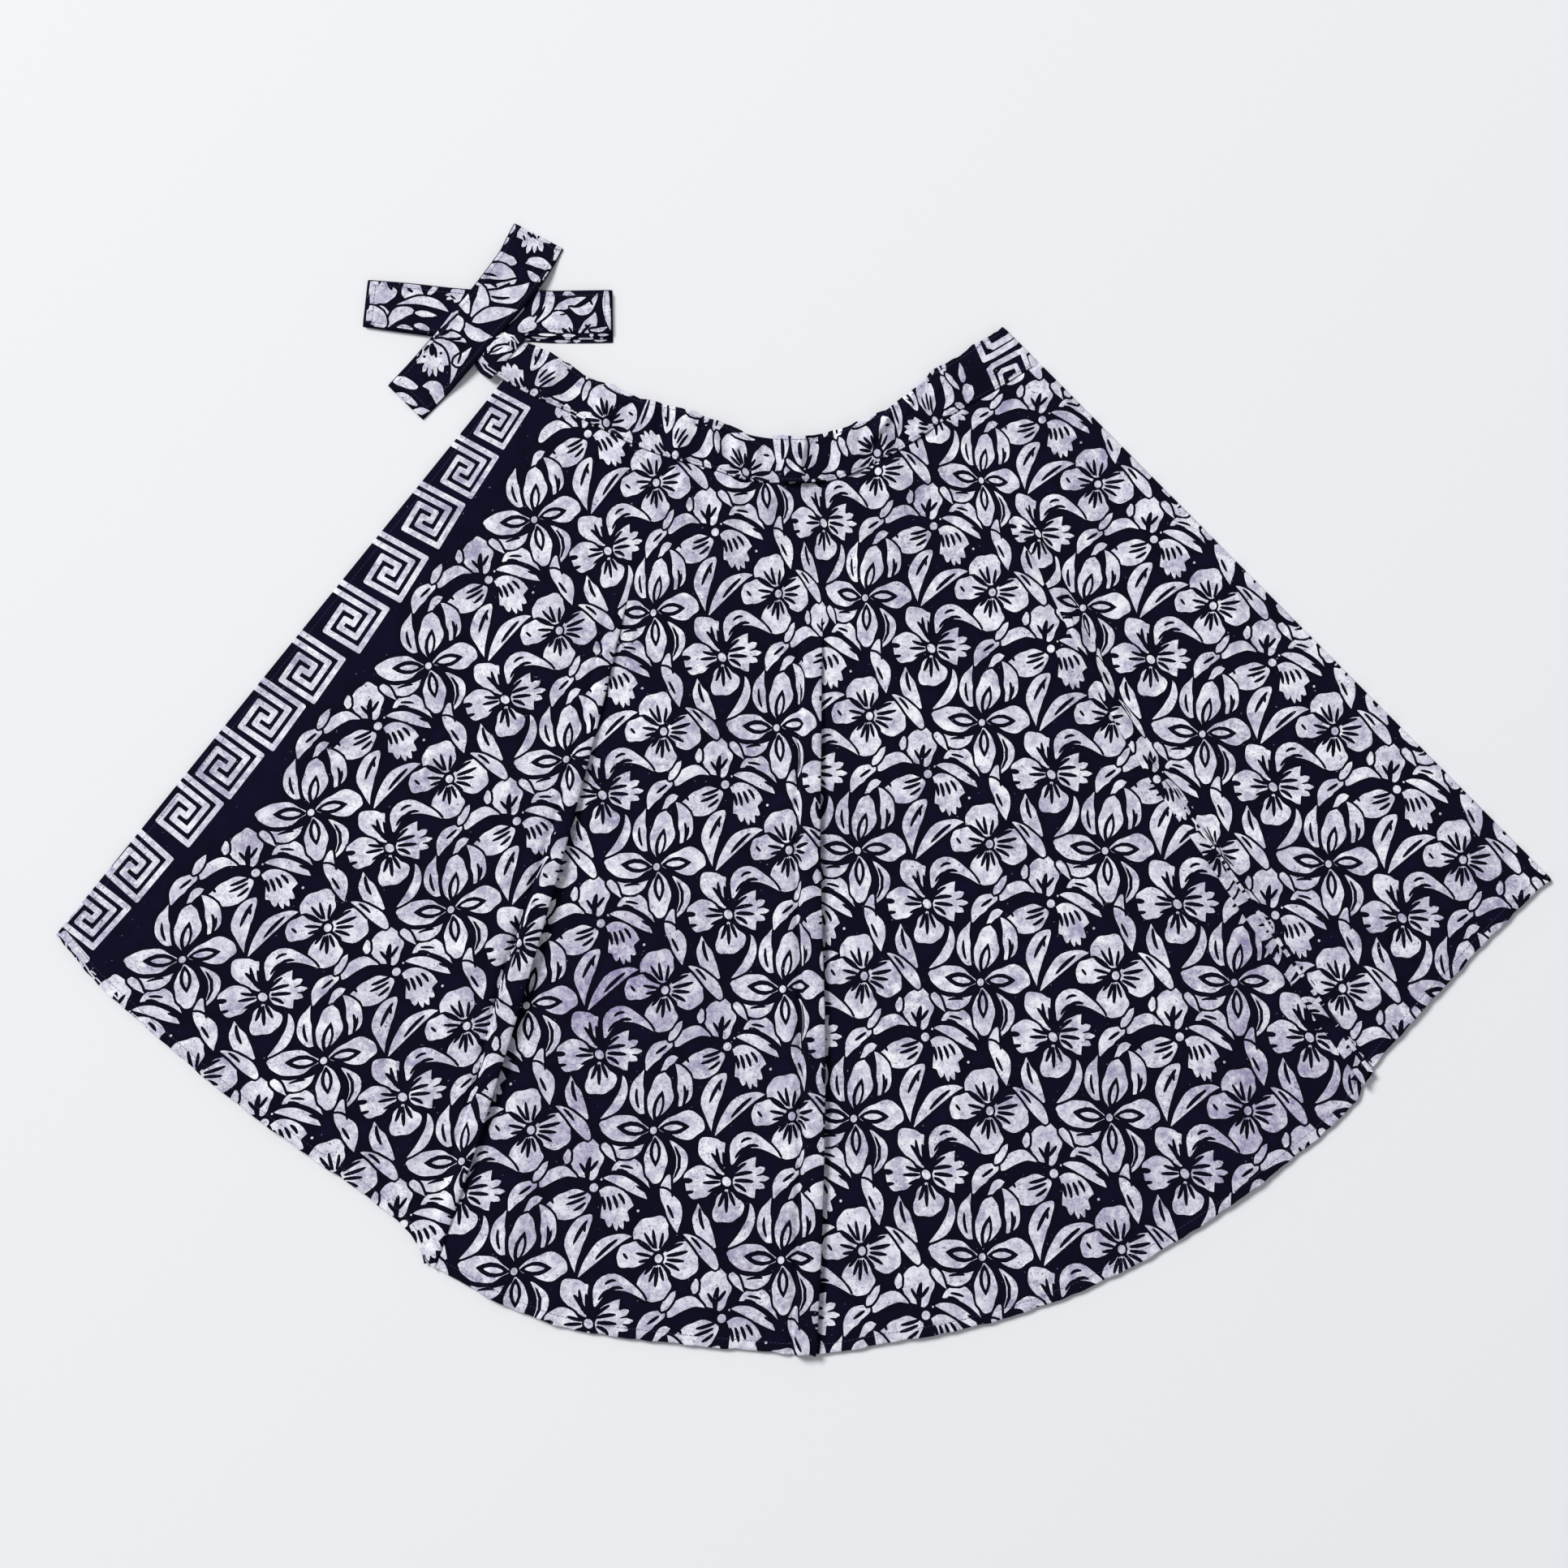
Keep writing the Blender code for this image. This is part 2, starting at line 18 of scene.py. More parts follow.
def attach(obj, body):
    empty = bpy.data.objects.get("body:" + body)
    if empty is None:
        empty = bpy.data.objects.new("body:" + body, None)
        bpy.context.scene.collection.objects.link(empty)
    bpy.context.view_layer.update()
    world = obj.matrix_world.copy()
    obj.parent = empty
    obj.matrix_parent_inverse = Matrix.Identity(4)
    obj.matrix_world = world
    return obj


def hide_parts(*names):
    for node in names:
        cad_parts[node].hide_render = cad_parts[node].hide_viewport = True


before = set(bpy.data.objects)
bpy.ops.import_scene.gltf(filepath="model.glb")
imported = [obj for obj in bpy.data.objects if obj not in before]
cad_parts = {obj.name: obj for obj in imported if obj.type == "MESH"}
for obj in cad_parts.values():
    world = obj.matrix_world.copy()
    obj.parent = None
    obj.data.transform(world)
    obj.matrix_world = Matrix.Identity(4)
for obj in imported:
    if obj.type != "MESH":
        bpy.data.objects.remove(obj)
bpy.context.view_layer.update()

MM = 0.001

# ---- the fan ----

APEX = np.array([-38.7, 528.63])
LEFT_ANGLE = -38.9
RIGHT_ANGLE = 44.8
BAND_LEFT_ANGLE = -40.6
UNDER_WRAP_END = 42.0
PANEL_LENGTH = 600
BAND_WIDTH = 36
CLOTH = 1.2
BAND_CLOTH = 1.8
TIE_LAYER = 1.2
GAP = 0.3
# Heights of the cloths' middles, from the back up to the front
BACK_HEIGHT = CLOTH / 2
UNDER_HEIGHT = BACK_HEIGHT + CLOTH + GAP
FRONT_HEIGHT = UNDER_HEIGHT + CLOTH + GAP
BAND_UNDER_HEIGHT = BAND_CLOTH / 2 + BAND_CLOTH + GAP
BAND_FRONT_HEIGHT = BAND_UNDER_HEIGHT + BAND_CLOTH + GAP
WAIST_RISE = 0.12  # share of the way down in which a panel comes down from the waistband

# The waistband: angle, radius of its top edge and of its seam
WAISTBAND = (
    (-44, 264, 294), (-40, 259, 292), (-35, 253, 289), (-29, 254, 285), (-24, 252, 285),
    (-18, 253, 288), (-12, 252, 291), (-6, 257, 294), (0, 265, 302), (5, 269, 304), (11, 271, 307),
    (16, 269, 304), (21, 267, 300), (26, 263, 296), (31, 257, 293), (36, 258, 295), (41, 260, 298),
    (47, 266, 304),
)
# The hem: angle, radius
HEM = (
    (-41, 816), (-38.9, 818), (-36, 828), (-32, 836), (-28, 847), (-23, 862), (-19, 877), (-16.6, 892),
    (-15.2, 910), (-13.5, 919), (-11, 930), (-8, 938), (-4, 940), (0, 944), (3, 948), (6, 944),
    (10, 941), (14, 935), (18, 925), (22, 912), (26, 898), (30.4, 882), (31.4, 870), (35, 854),
    (39, 843), (42, 839), (47, 838),
)
# Folds: share of the way down, angle of the crest, overhang of the top layer
LEFT_FOLD = (
    (0, -12.6, 0.2), (0.12, -13.2, 0.4), (0.3, -13.2, 7), (0.55, -13.6, 15), (0.8, -14.2, 21),
    (1, -14.8, 24),
)
CENTRE_FOLD = (
    (0, 9.1, 0.2), (0.1, 8, 0.4), (0.17, 7.3, 2), (0.25, 6.4, 9), (0.42, 5.1, 14), (0.66, 4.3, 14),
    (1, 2.9, 13),
)
RIGHT_FOLD = (
    (0, 31.2, 0.2), (0.1, 30.7, 0.8), (0.3, 29.6, 6), (0.45, 29.2, 8), (0.65, 30, 11), (1, 31.1, 14),
)
BAND_FOLD = ((0, 3.3, 15), (0.5, 3.6, 14), (1, 4, 12))
# The folds on the left and on the right of each part of the front
LEFT_LINES = (None, LEFT_FOLD, CENTRE_FOLD, RIGHT_FOLD)
RIGHT_LINES = (LEFT_FOLD, CENTRE_FOLD, RIGHT_FOLD, None)
FOLD_START = 0.6  # overhang at which a fold begins
FOLD_OPENING = 4.0  # overhang beyond that in which it opens


def pair(x, y):
    """Places or steps from their x and y."""
    return np.stack([x, y], -1)


def unit(steps, least=1e-9):
    """Headings of some steps."""
    return steps / np.maximum(np.hypot(steps[:, 0], steps[:, 1]), least)[:, None]


def beside(line, away):
    """Places to the left of a line, which is given as x, y and heading."""
    x, y, dx, dy = line
    return pair(x - dy * away, y + dx * away)


def parabola(first, control, last, t):
    """Places and steps of a parabola from its first to its last place."""
    place = (1 - t) ** 2 * first + 2 * t * (1 - t) * control + t**2 * last
    return place, 2 * (1 - t) * (control - first) + 2 * t * (last - control)


def spine_points(x0, y0, xm, ym, x1, y1, t):
    """A line from root to tip that passes its middle halfway."""
    x, dx = parabola(x0, 2 * xm - (x0 + x1) / 2, x1, t)
    y, dy = parabola(y0, 2 * ym - (y0 + y1) / 2, y1, t)
    size = np.hypot(dx, dy)
    return x, y, dx / size, dy / size


def eased(steps):
    """Shares from 0 to 1 that lie closer at both ends."""
    return (1 - np.cos(math.pi * np.arange(steps + 1) / steps)) / 2


def smoothstep(t):
    t = np.clip(t, 0.0, 1.0)
    return t * t * (3 - 2 * t)


def ripple(table, at, seed=1, lift=0):
    """Waves of several beats and sizes."""
    return sum(size * (lift + np.sin(beats * at + beats * seed)) for beats, size in table)


def curve_through(rows, at, column=1):
    """Values at many places of a smooth curve through a table's rows."""
    rows = np.asarray(rows, float)
    places, values = rows[:, 0], rows[:, column]
    after = np.minimum(np.arange(len(rows)) + 1, len(rows) - 1)
    before = np.maximum(np.arange(len(rows)) - 1, 0)
    slopes = (values[after] - values[before]) / (places[after] - places[before])
    at = np.clip(np.asarray(at, float), places[0], places[-1])
    i = np.clip(np.searchsorted(places, at) - 1, 0, len(rows) - 2)
    span = places[i + 1] - places[i]
    t = (at - places[i]) / span
    start = (2 * t**3 - 3 * t**2 + 1) * values[i] + (t**3 - 2 * t**2 + t) * span * slopes[i]
    end = (3 * t**2 - 2 * t**3) * values[i + 1] + (t**3 - t**2) * span * slopes[i + 1]
    return start + end


def signed_area(ring):
    """Area inside a closed outline, negative where it runs clockwise."""
    ahead = np.roll(ring, -1, 0)
    return np.sum(ring[:, 0] * ahead[:, 1] - ring[:, 1] * ahead[:, 0]) / 2


def inside(outline, places):
    """Which places lie inside a closed outline."""
    found = np.zeros(len(places), bool)
    x, y = places[:, 0], places[:, 1]
    for (x0, y0), (x1, y1) in zip(outline, np.roll(outline, -1, 0)):
        if y0 != y1:
            crosses = (y0 > y) != (y1 > y)
            found ^= crosses & (x < (x1 - x0) * (y - y0) / (y1 - y0) + x0)
    return found


def near_box(middle, outline, reach):
    """Whether places lie within some reach of an outline's box."""
    return ((middle > outline.min(0) - reach) & (middle < outline.max(0) + reach)).all(1)


def split_as(values, parts):
    """Values that belong to several parts, parted as they are."""
    return np.split(values, np.cumsum([len(part) for part in parts])[:-1])


def tree_of(places):
    """A tree that finds the nearest of some places."""
    tree = KDTree(len(places))
    for k, (x, y) in enumerate(places):
        tree.insert((x, y, 0), k)
    tree.balance()
    return tree


def fan_place(angle, radius):
    turned = np.radians(angle)
    return APEX + pair(radius * np.sin(turned), -radius * np.cos(turned))


def fan_line(angles, radii, shift):
    """A line down the fan, moved sideways by a shift to the right."""
    return fan_place(angles + np.degrees(shift / radii), radii)


def fan_measure(places):
    """Angle and radius of places on the plan."""
    right = places[..., 0] - APEX[0]
    down = APEX[1] - places[..., 1]
    return np.degrees(np.arctan2(right, down)), np.hypot(right, down)


def fan_down(places):
    """Angle and radius of places, and how far down a panel they are, from seam to hem."""
    angle, radius = fan_measure(places)
    top = seam_radius(angle) + GAP / 2
    return angle, radius, (radius - top) / (hem_radius(angle) - top)


def seam_radius(angle):
    return curve_through(WAISTBAND, angle, 2)


def band_top_radius(angle):
    return curve_through(WAISTBAND, angle, 1)


def hem_radius(angle):
    return curve_through(HEM, angle)


def down_radii(angle, down, hem_gap=0.6, top_gap=0.3):
    """Radii down a panel that stops short of the seam and the hem."""
    top = seam_radius(angle) + top_gap
    return top + (hem_radius(angle) - hem_gap - top) * down


def fold_share(table, down):
    """How far a fold has opened: 0 where the cloth is whole, 1 where a layer lies on it."""
    return smoothstep((curve_through(table, down, 2) - FOLD_START) / FOLD_OPENING)


# ---- petals and veins ----

# Petals and leaves of the print about their flower's middle: root, middle and tip of the
# spine, width, place of the broadest part, bluntness of root and tip (small is blunt), and for
# a toothed petal how many teeth its tip has and how deep they are
PETALS = {
    "A": (
        (-2, 5, -5, 19, -5.5, 33.5, 23, 0.56, 0.75, 0.6),
        (12, 11, 25, 13.5, 38.5, -2, 9.5, 0.45, 0.7, 1), (7, 6, 21, 2.5, 37, -9.5, 7.5, 0.6, 0.6, 0.8),
        (3.5, -1.5, 15, -12, 19, -29.5, 24, 0.74, 0.9, 0.3, 5, 5),
        (-2.5, -3.5, -17, -11, -36, -13.5, 19.5, 0.5, 0.75, 0.8),
        (-12, 7.5, -25, 11.5, -37, 2, 9, 0.6, 1, 0.5),
        (-39, 3, -50, 0, -57, -13.5, 10.5, 0.45, 0.5, 0.8),
        (-41, 6.5, -37, 13, -32, 19.5, 6, 0.4, 0.5, 0.8),
        (-35, -5.5, -41, -8, -47.5, -17, 5.6, 0.4, 0.7, 0.9),
        (0, -18, -11, -34, -10.5, -56, 13.5, 0.45, 0.7, 1),
        (-19.5, 17, -19, 22, -18.5, 27, 5, 0.5, 0.5, 0.6),
    ),
    "B": (
        (0.5, 6.5, 4, 23, 7.5, 39, 17.5, 0.52, 0.7, 0.7),
        (-6.5, 11, -12.5, 25, -7.5, 41, 10, 0.5, 0.8, 0.9),
        (17, 15, 22, 29, 14.5, 44.5, 11, 0.52, 0.8, 0.9),
        (-2.5, -0.5, -20, 2.5, -38, 4.5, 18.5, 0.5, 0.9, 0.65),
        (3.5, 1, 19, 2.5, 36, 0, 18.5, 0.6, 0.8, 0.5),
        (0.5, -4.5, 2.5, -20, 0.5, -36, 16, 0.5, 0.7, 0.5),
        (-6, -9, -20, -14.5, -33, -6.5, 8.5, 0.5, 0.9, 0.8),
        (-35, -7, -31, -12.5, -25.5, -20, 5.5, 0.4, 0.5, 0.9),
        (11.5, -7.5, 20.5, -22, 12.5, -37, 7.5, 0.5, 0.7, 0.6),
        (12.5, -31, 10, -44, 20.5, -56.5, 8.5, 0.45, 0.6, 0.9),
    ),
    "C": (
        (-1, 5.5, -5, 17, -7.5, 28, 25, 0.6, 0.6, 0.42),
        (3, 2.5, 15, -1, 28, -2.5, 25.5, 0.6, 0.6, 0.42),
        (-1, -4.5, -2.5, -16, -1.5, -28.8, 23, 0.58, 0.6, 0.42),
        (-4, 4, -17, 3, -28.5, 1, 17.5, 0.62, 0.7, 0.42),
        (-19, 15.5, -38, 9, -54, -10.5, 10.5, 0.55, 0.9, 0.9),
        (-0.5, 47, 8.5, 33, 12, 17, 11, 0.5, 0.7, 0.8),
        (26.5, 35, 29, 20, 39.5, 5, 11.5, 0.5, 0.9, 0.8),
        (16.5, 15.5, 29, 6.5, 40.5, -9, 8, 0.7, 0.8, 0.45),
    ),
    "D": (
        (-1.5, 5, -9.5, 18, -11.5, 30, 19, 0.76, 0.95, 0.34),
        (3.5, 11, 14.5, 27.5, 38, 13.5, 11, 0.42, 0.6, 0.9),
        (4, 0.5, 16, 1.5, 29, 1, 27, 0.68, 0.62, 0.3, 4, 6.5),
        (0, -5.5, 1, -17, 2, -27.5, 21.5, 0.6, 0.7, 0.42),
        (-4, -0.5, -17, 0.5, -29.5, -1.5, 22, 0.58, 0.7, 0.4),
        (16.5, -15, 16, -31, 2, -44, 7, 0.55, 0.9, 0.8),
    ),
}
# Dark veins cut into them: both ends, width and how far the middle bends to the left
VEINS = {
    "A": (
        (-4.5, 4, -3, 21.5, 3.6, 1), (-5, 9, -10.5, 17.5, 2.2, 0), (-3.5, 11, 2.5, 18.5, 2.4, 0),
        (15, 11.5, 25, 6.5, 2.2, 1.2), (17, 14, 27, 11.5, 1.8, 0.5), (29, 0, 38, -5.5, 1.9, 0),
        (5.6, -6, 8.2, -16, 2.3, 0.5), (9.2, -6, 12.2, -16.5, 2.3, 0.5),
        (13, -5.5, 16.8, -15, 2.3, 0.5), (16.5, -4.5, 21.5, -12.5, 2.2, 0.8),
        (-4, -2.5, -18, -6.2, 2.4, 0.5), (-5, -6, -19, -10.6, 2.3, 0.6),
        (-5, -9.5, -13.5, -15, 2.2, 0.6), (-31, -3, -27, -9.5, 2, 0), (-42.5, 3.5, -51, -2.2, 2.2, 0),
        (-3, -21.5, -12.4, -38, 2.6, -0.8), (-5.5, -23, -5, -30, 2, 0),
    ),
    "B": (
        (-10.2, 15, -12.2, 29.5, 2, 1.2), (19.8, 14.5, 20.5, 30, 2.4, -1.8),
        (20.5, 17, 23.5, 27, 1.6, -1), (14.5, -11, 14.2, -34, 2.2, 4.6), (14.4, -38, 14.5, -46, 2, 0),
        (-12, -11.5, -24, -12, 1.8, -0.8),
    ),
    "C": (
        (-3.5, 4.5, -16.5, 13.8, 2.2, 0.8), (-2.8, 6.5, -10.5, 18, 2.2, 0.4),
        (-1.6, 6, -4.5, 20, 2.3, 0.4), (0.4, 6, 2.4, 17.5, 2.2, -0.4), (2.2, 4, 6.5, 12, 1.8, 0),
        (4.5, 4, 17, 9.5, 2.4, 0.8), (5, 1.5, 20.5, 4.2, 2.6, -0.4), (5, -1, 18, -2.6, 2.4, 0),
        (4, -3.2, 15, -9, 2.4, 0.6), (3, -4.8, 9, -11, 2, 0.4), (-3, -3.5, -9.5, -10.5, 2.4, 0),
        (-2, -5, -6, -16, 2.4, 0), (-0.6, -5, -1.6, -19.5, 2.6, 0), (0.8, -5, 4, -15.5, 2.2, 0),
        (-4.5, 1.5, -16, 4.2, 2.2, 0), (-4.5, -0.5, -14, -1.8, 2.2, 0), (-24.5, 4.6, -21, 0.2, 1.8, 0),
        (-28, 14.2, -43.5, 0.5, 2.6, -0.8), (4.5, 36, 9.5, 26, 2, 0), (27.4, 33, 31, 17.5, 2.4, -1.2),
        (21.5, 13.5, 29.5, 4.5, 2, 0.6),
    ),
    "D": (
        (-1.5, 5.5, -11.5, 20, 2.8, -0.8), (-4, 8, -7.5, 23.5, 2.4, 0.5),
        (-1.5, 6, -3, 20.5, 2.6, -0.6), (5.6, 15, 12.5, 22.5, 2, 0.6), (9.5, 25.4, 17.5, 27.8, 2, 1.4),
        (12, 21.5, 22.5, 22.4, 2.2, 1.4), (4.5, 3.5, 18.5, 5.2, 2.6, 0.6), (5, 5, 14, 11.8, 2.4, 0.8),
        (5, 0.5, 19.5, -1.2, 2.6, 0.3), (5, -2, 14, -8, 2.4, 1), (-1.5, -5.5, -5.5, -17, 2.6, 0.6),
        (0, -6, 0.4, -21.5, 2.6, 0), (1.4, -5.5, 6.4, -17, 2.4, 0), (-3, 2, -15, 5.6, 2.3, 0.4),
        (-4, 0, -17, 0, 2.3, 0), (-3, -2.5, -13, -6.2, 2.2, 0), (-31.5, 2.4, -23.5, 1.6, 3.4, 0),
        (-31, -6.4, -22.5, -5.6, 2.4, 0),
    ),
}
# Almond-shaped dark rings with a white heart, on the lily's petals: both ends, width, and the
# heart's ends and width
ALMONDS = {
    "B": (
        (0.5, 5, 5.8, 27, 7, 2, 9, 5, 22.5, 3), (-3, 0, -26, 3.6, 9, -7, 0.5, -20.5, 2.6, 3.6),
        (3.5, 1, 25.5, 1.2, 8.6, 7, 1.2, 20.5, 1.2, 3.6),
        (1.2, -4.5, 2.2, -25, 7.2, 1.5, -8.5, 2.1, -21, 2.8),
    ),
}
# A flower's white middle: half its width, half its length, turn
HEARTS = {"A": (3, 3, 0), "B": (2.4, 2.6, 0), "C": (2.7, 3, 0), "D": (2.8, 3.6, 40)}
SPECKS = {"A": ((5, 5.4, 0.8), (31, -17, 1))}
# Where the flowers lie in one repeat, as shares of its width and height
FLOWER_PLACES = {"A": (0.0, 0.0), "B": (0.219, -0.203), "C": (0.254, 0.272), "D": (0.004, 0.501)}
FLOWER_REACH = 70
REPEAT = 182.0
PETAL_GAP = 1.8  # dark rim that each petal keeps clear of those beneath it
HEART_RING = 1.5  # dark ring round a flower's white middle
FLOWER_SEED = 1.7  # step from the waver of one petal to that of the next in a flower
PLACED_SEED = 1.3  # the same where petals are placed one by one
VEIN_WEIGHT = 1.15  # dye creeps under the wax, so a vein is wider than it was drawn
# Bluntness of the two ends of a vein, an almond and an almond's white heart
VEIN_ENDS = (0.32, 0.4)
ALMOND_ENDS = (0.8, 0.9)
ALMOND_HEART_ENDS = (0.6, 0.7)
# How a hand-cut outline wavers: beats round it and size, in full from some width on
WAVERS = ((3, 0.6), (5, 0.45), (8, 0.28))
WAVERED_WIDTH = 16.0
LONG_OUTLINE = 14  # places beyond which a rim is drawn with half as many

# A bar's end: shares of its softening and of its half width
BAR_SOFTENING = 0.25
BAR_CORNERS = ((1, 1), (0.3, 0.7), (0, 0.3), (0, -0.3), (0.3, -0.7), (1, -1))

# A toothed tip: share of the petal at which it starts, step of the spine that its cuts point
# at, how deep the cuts are and how much that varies, the half width of a cut's floor and of a
# tooth as shares of a step, and how far a tooth's shoulders are set back
TOOTH_START = 0.62
TOOTH_CORNER = 0.66  # share at which the petal's side turns into its first tooth
TOOTH_AIM = 7
CUT_DEPTH = 1.15
CUT_WAVER = 0.4
CUT_FLOOR = 0.06
TOOTH_HALF = 0.29
TOOTH_BACK = 0.45
# Places round one tooth: along it in half widths, and share of the setback
TOOTH = ((-1, 1), (-0.25, 0), (0.25, 0), (1, 1))


def half_width(t, width, broadest, root, tip):
    rising = np.sin(math.pi / 2 * np.clip(t / broadest, 0, 1)) ** root
    falling = np.cos(math.pi / 2 * np.clip((t - broadest) / (1 - broadest), 0, 1)) ** tip
    return width / 2 * np.where(t < broadest, rising, falling)


def toothed_tip(start, end, tip, aim, teeth, depth, seed):
    """The arc round a petal's tip with its teeth, whose cuts point at some place."""
    s = np.arange(2 * teeth + 1)[:, None] / (2 * teeth)
    arc = parabola(start, 2 * tip - (start + end) / 2, end, s)[0]
    inward = unit(aim - arc, 0.001)
    reach = depth * (0.5 + 0.5 * np.sin(math.pi * s[:, 0]))
    deep = reach * (CUT_DEPTH + CUT_WAVER * np.sin(seed + 3 * np.arange(len(arc))))
    rows = [arc[0]]
    for k in range(1, len(arc) - 1):
        step = arc[k + 1] - arc[k - 1]
        if k % 2:
            floor = arc[k] + inward[k] * deep[k]
            rows += [floor - step * CUT_FLOOR, floor + step * CUT_FLOOR]
        else:
            side, back = step * TOOTH_HALF, inward[k] * reach[k] * TOOTH_BACK
            rows += [arc[k] + side * along + back * sunk for along, sunk in TOOTH]
    return [*rows, arc[-1]]


def petal_outline(row, seed, steps=19):
    """A petal or leaf with a hand-cut, wavering outline."""
    *spine, width, broadest, root, tip, teeth, depth = (*row, 0, 0)[:12]
    t = eased(steps)
    first = int((t < TOOTH_START).sum())
    if teeth:
        t = np.concatenate([t[:first], [TOOTH_CORNER, 1.0]])
    line = spine_points(*spine, t)
    half = half_width(t, width, broadest, root, tip)
    left, right = beside(line, half), beside(line, -half)
    if teeth:
        aim = np.array([line[0][TOOTH_AIM], line[1][TOOTH_AIM]])
        rows = toothed_tip(left[first], right[first], np.array(spine[4:]), aim, teeth, depth, seed)
        outline = np.vstack([left[:first], rows, right[:first][::-1][:-1]])
    else:
        outline = np.vstack([left, right[1:-1][::-1]])
    out = unit(outline - outline.mean(0), 0.001)
    turn = np.arange(len(outline)) * 2 * math.pi / len(outline)
    return outline + out * ripple(WAVERS, turn, seed)[:, None] * min(1, width / WAVERED_WIDTH)


def slit_outline(x0, y0, x1, y1, width, bend, ends=VEIN_ENDS, steps=5):
    """A vein, tapered at both ends."""
    t = eased(steps)
    length = math.hypot(x1 - x0, y1 - y0)
    xm = (x0 + x1) / 2 - (y1 - y0) / length * bend
    ym = (y0 + y1) / 2 + (x1 - x0) / length * bend
    line = spine_points(x0, y0, xm, ym, x1, y1, t)
    half = half_width(t, width * VEIN_WEIGHT, 0.5, *ends)
    return np.vstack([beside(line, half), beside(line, -half)[1:-1][::-1]])


def oval(x, y, across, along, turn, count=10):
    a = np.arange(count) * 2 * math.pi / count
    u, v = across * np.cos(a), along * np.sin(a)
    c, s = math.cos(math.radians(turn)), math.sin(math.radians(turn))
    return pair(x + u * c - v * s, y + u * s + v * c)


def widened(outline, by):
    """An outline moved outward, with every second place of a long one left out."""
    outline = outline[::2] if len(outline) > LONG_OUTLINE else outline
    ahead = unit(np.roll(outline, -1, 0) - np.roll(outline, 1, 0))
    side = 1 if signed_area(outline) > 0 else -1
    return outline + side * by * pair(ahead[:, 1], -ahead[:, 0])


def rimmed_petals(rows, seed, step):
    """White petals laid one by one, each on a dark rim that keeps it clear of its neighbours."""
    shapes = []
    for k, row in enumerate(rows):
        shape = petal_outline(row, step * k + seed)
        shapes += [(False, widened(shape, PETAL_GAP)), (True, shape)]
    return shapes


def cut_veins(rows):
    return [(False, slit_outline(*row)) for row in rows]


def placed_print(petals, veins, seed):
    return rimmed_petals(petals, seed, PLACED_SEED) + cut_veins(veins)


def flower(kind):
    """Outlines of one flower: petals, veins and white hearts, as (is white, outline)."""
    across, along, turn = HEARTS[kind]
    petals = rimmed_petals(PETALS[kind], 1 + ord(kind), FLOWER_SEED)
    veins = cut_veins(VEINS[kind])
    veins.append((False, oval(0, 0, across + HEART_RING, along + HEART_RING, turn)))
    hearts = [(True, oval(0, 0, across, along, turn))]
    hearts += [(True, oval(x, y, r, r, 0, 6)) for x, y, r in SPECKS.get(kind, ())]
    for x0, y0, x1, y1, width, *heart, heart_width in ALMONDS.get(kind, ()):
        veins.append((False, slit_outline(x0, y0, x1, y1, width, 0, ALMOND_ENDS, 7)))
        hearts.append((True, slit_outline(*heart, heart_width, 0, ALMOND_HEART_ENDS)))
    return petals, veins, hearts


def bar(start, end, width, reach):
    """A straight bar with softened corners, running past both its ends."""
    start, end = np.array(start, float), np.array(end, float)
    along = (end - start) / np.hypot(*(end - start))
    side = np.array([-along[1], along[0]]) * width / 2
    cut = along * width * BAR_SOFTENING
    ends = ((end + along * reach, 1), (start - along * reach, -1))
    places = [place - cut * c * out - side * s * out for place, out in ends for c, s in BAR_CORNERS]
    return np.roll(places, 1, 0)


def strokes(rows):
    """White lines of several straight runs, each row a width and the line's places."""
    return [(True, bar(a, b, width, width / 2)) for width, run in rows for a, b in zip(run, run[1:])]


# ---- how the print lies ----

# How the print lies on each part of the front between two folds: a place on the plan is a
# quadratic of the repeat's two counts, with rows for 1, i, j, i*i, i*j and j*j
PRINT_LAY = (
    ((-232.6, 154.3), (179.8, 40.0), (24.9, -175.6), (-7.1, 3.0), (5.7, 1.2), (-4.2, -2.5)),
    ((-58.1, 3.2), (180.5, 15.2), (4.5, -189.8), (-4.3, -0.2), (7.8, -3.9), (-2.9, -3.6)),
    ((91.4, 11.0), (180.0, -0.1), (-3.1, -188.5), (1.7, -0.6), (6.1, 0.9), (1.2, -5.6)),
    ((345.5, 93.2), (182.1, -4.4), (-2.8, -180.1), (2.4, 1.1), (2.1, -0.1), (5.2, -6.3)),
)
# The counts at which one part's print carries on in its neighbour's, where the fold between
# them has not begun, and the width over which it does so
LAY_STEPS = {(0, 1): (1, 1), (1, 2): (1, 0), (2, 3): (1.5, -0.5)}
LAY_BLEND = 45
SQUEEZED = 4.0  # width over which the print beside a fold's foot is squeezed


def repeat_places(lay, i, j):
    """Places on the plan of the print's counts, for one part's lay."""
    return np.stack([np.ones_like(i), i, j, i * i, i * j, j * j], -1) @ np.array(lay)


def front_places(part, i, j):
    """The same for a part of the front, which carries on in its neighbour above a fold."""
    here = repeat_places(PRINT_LAY[part], i, j)
    for (left, right), (di, dj) in LAY_STEPS.items():
        if part not in (left, right):
            continue
        other, way = (right, -1) if part == left else (left, 1)
        there = repeat_places(PRINT_LAY[other], i + way * di, j + way * dj)
        table = RIGHT_LINES[left]
        angle, radius, down = fan_down((here + there) / 2)
        towards = -way * np.radians(angle - curve_through(table, down)) * radius
        share = (1 - fold_share(table, down)) * smoothstep((towards / LAY_BLEND + 1) / 2)
        here = here + (there - here) * share[..., None]
    return tucked(part, here)


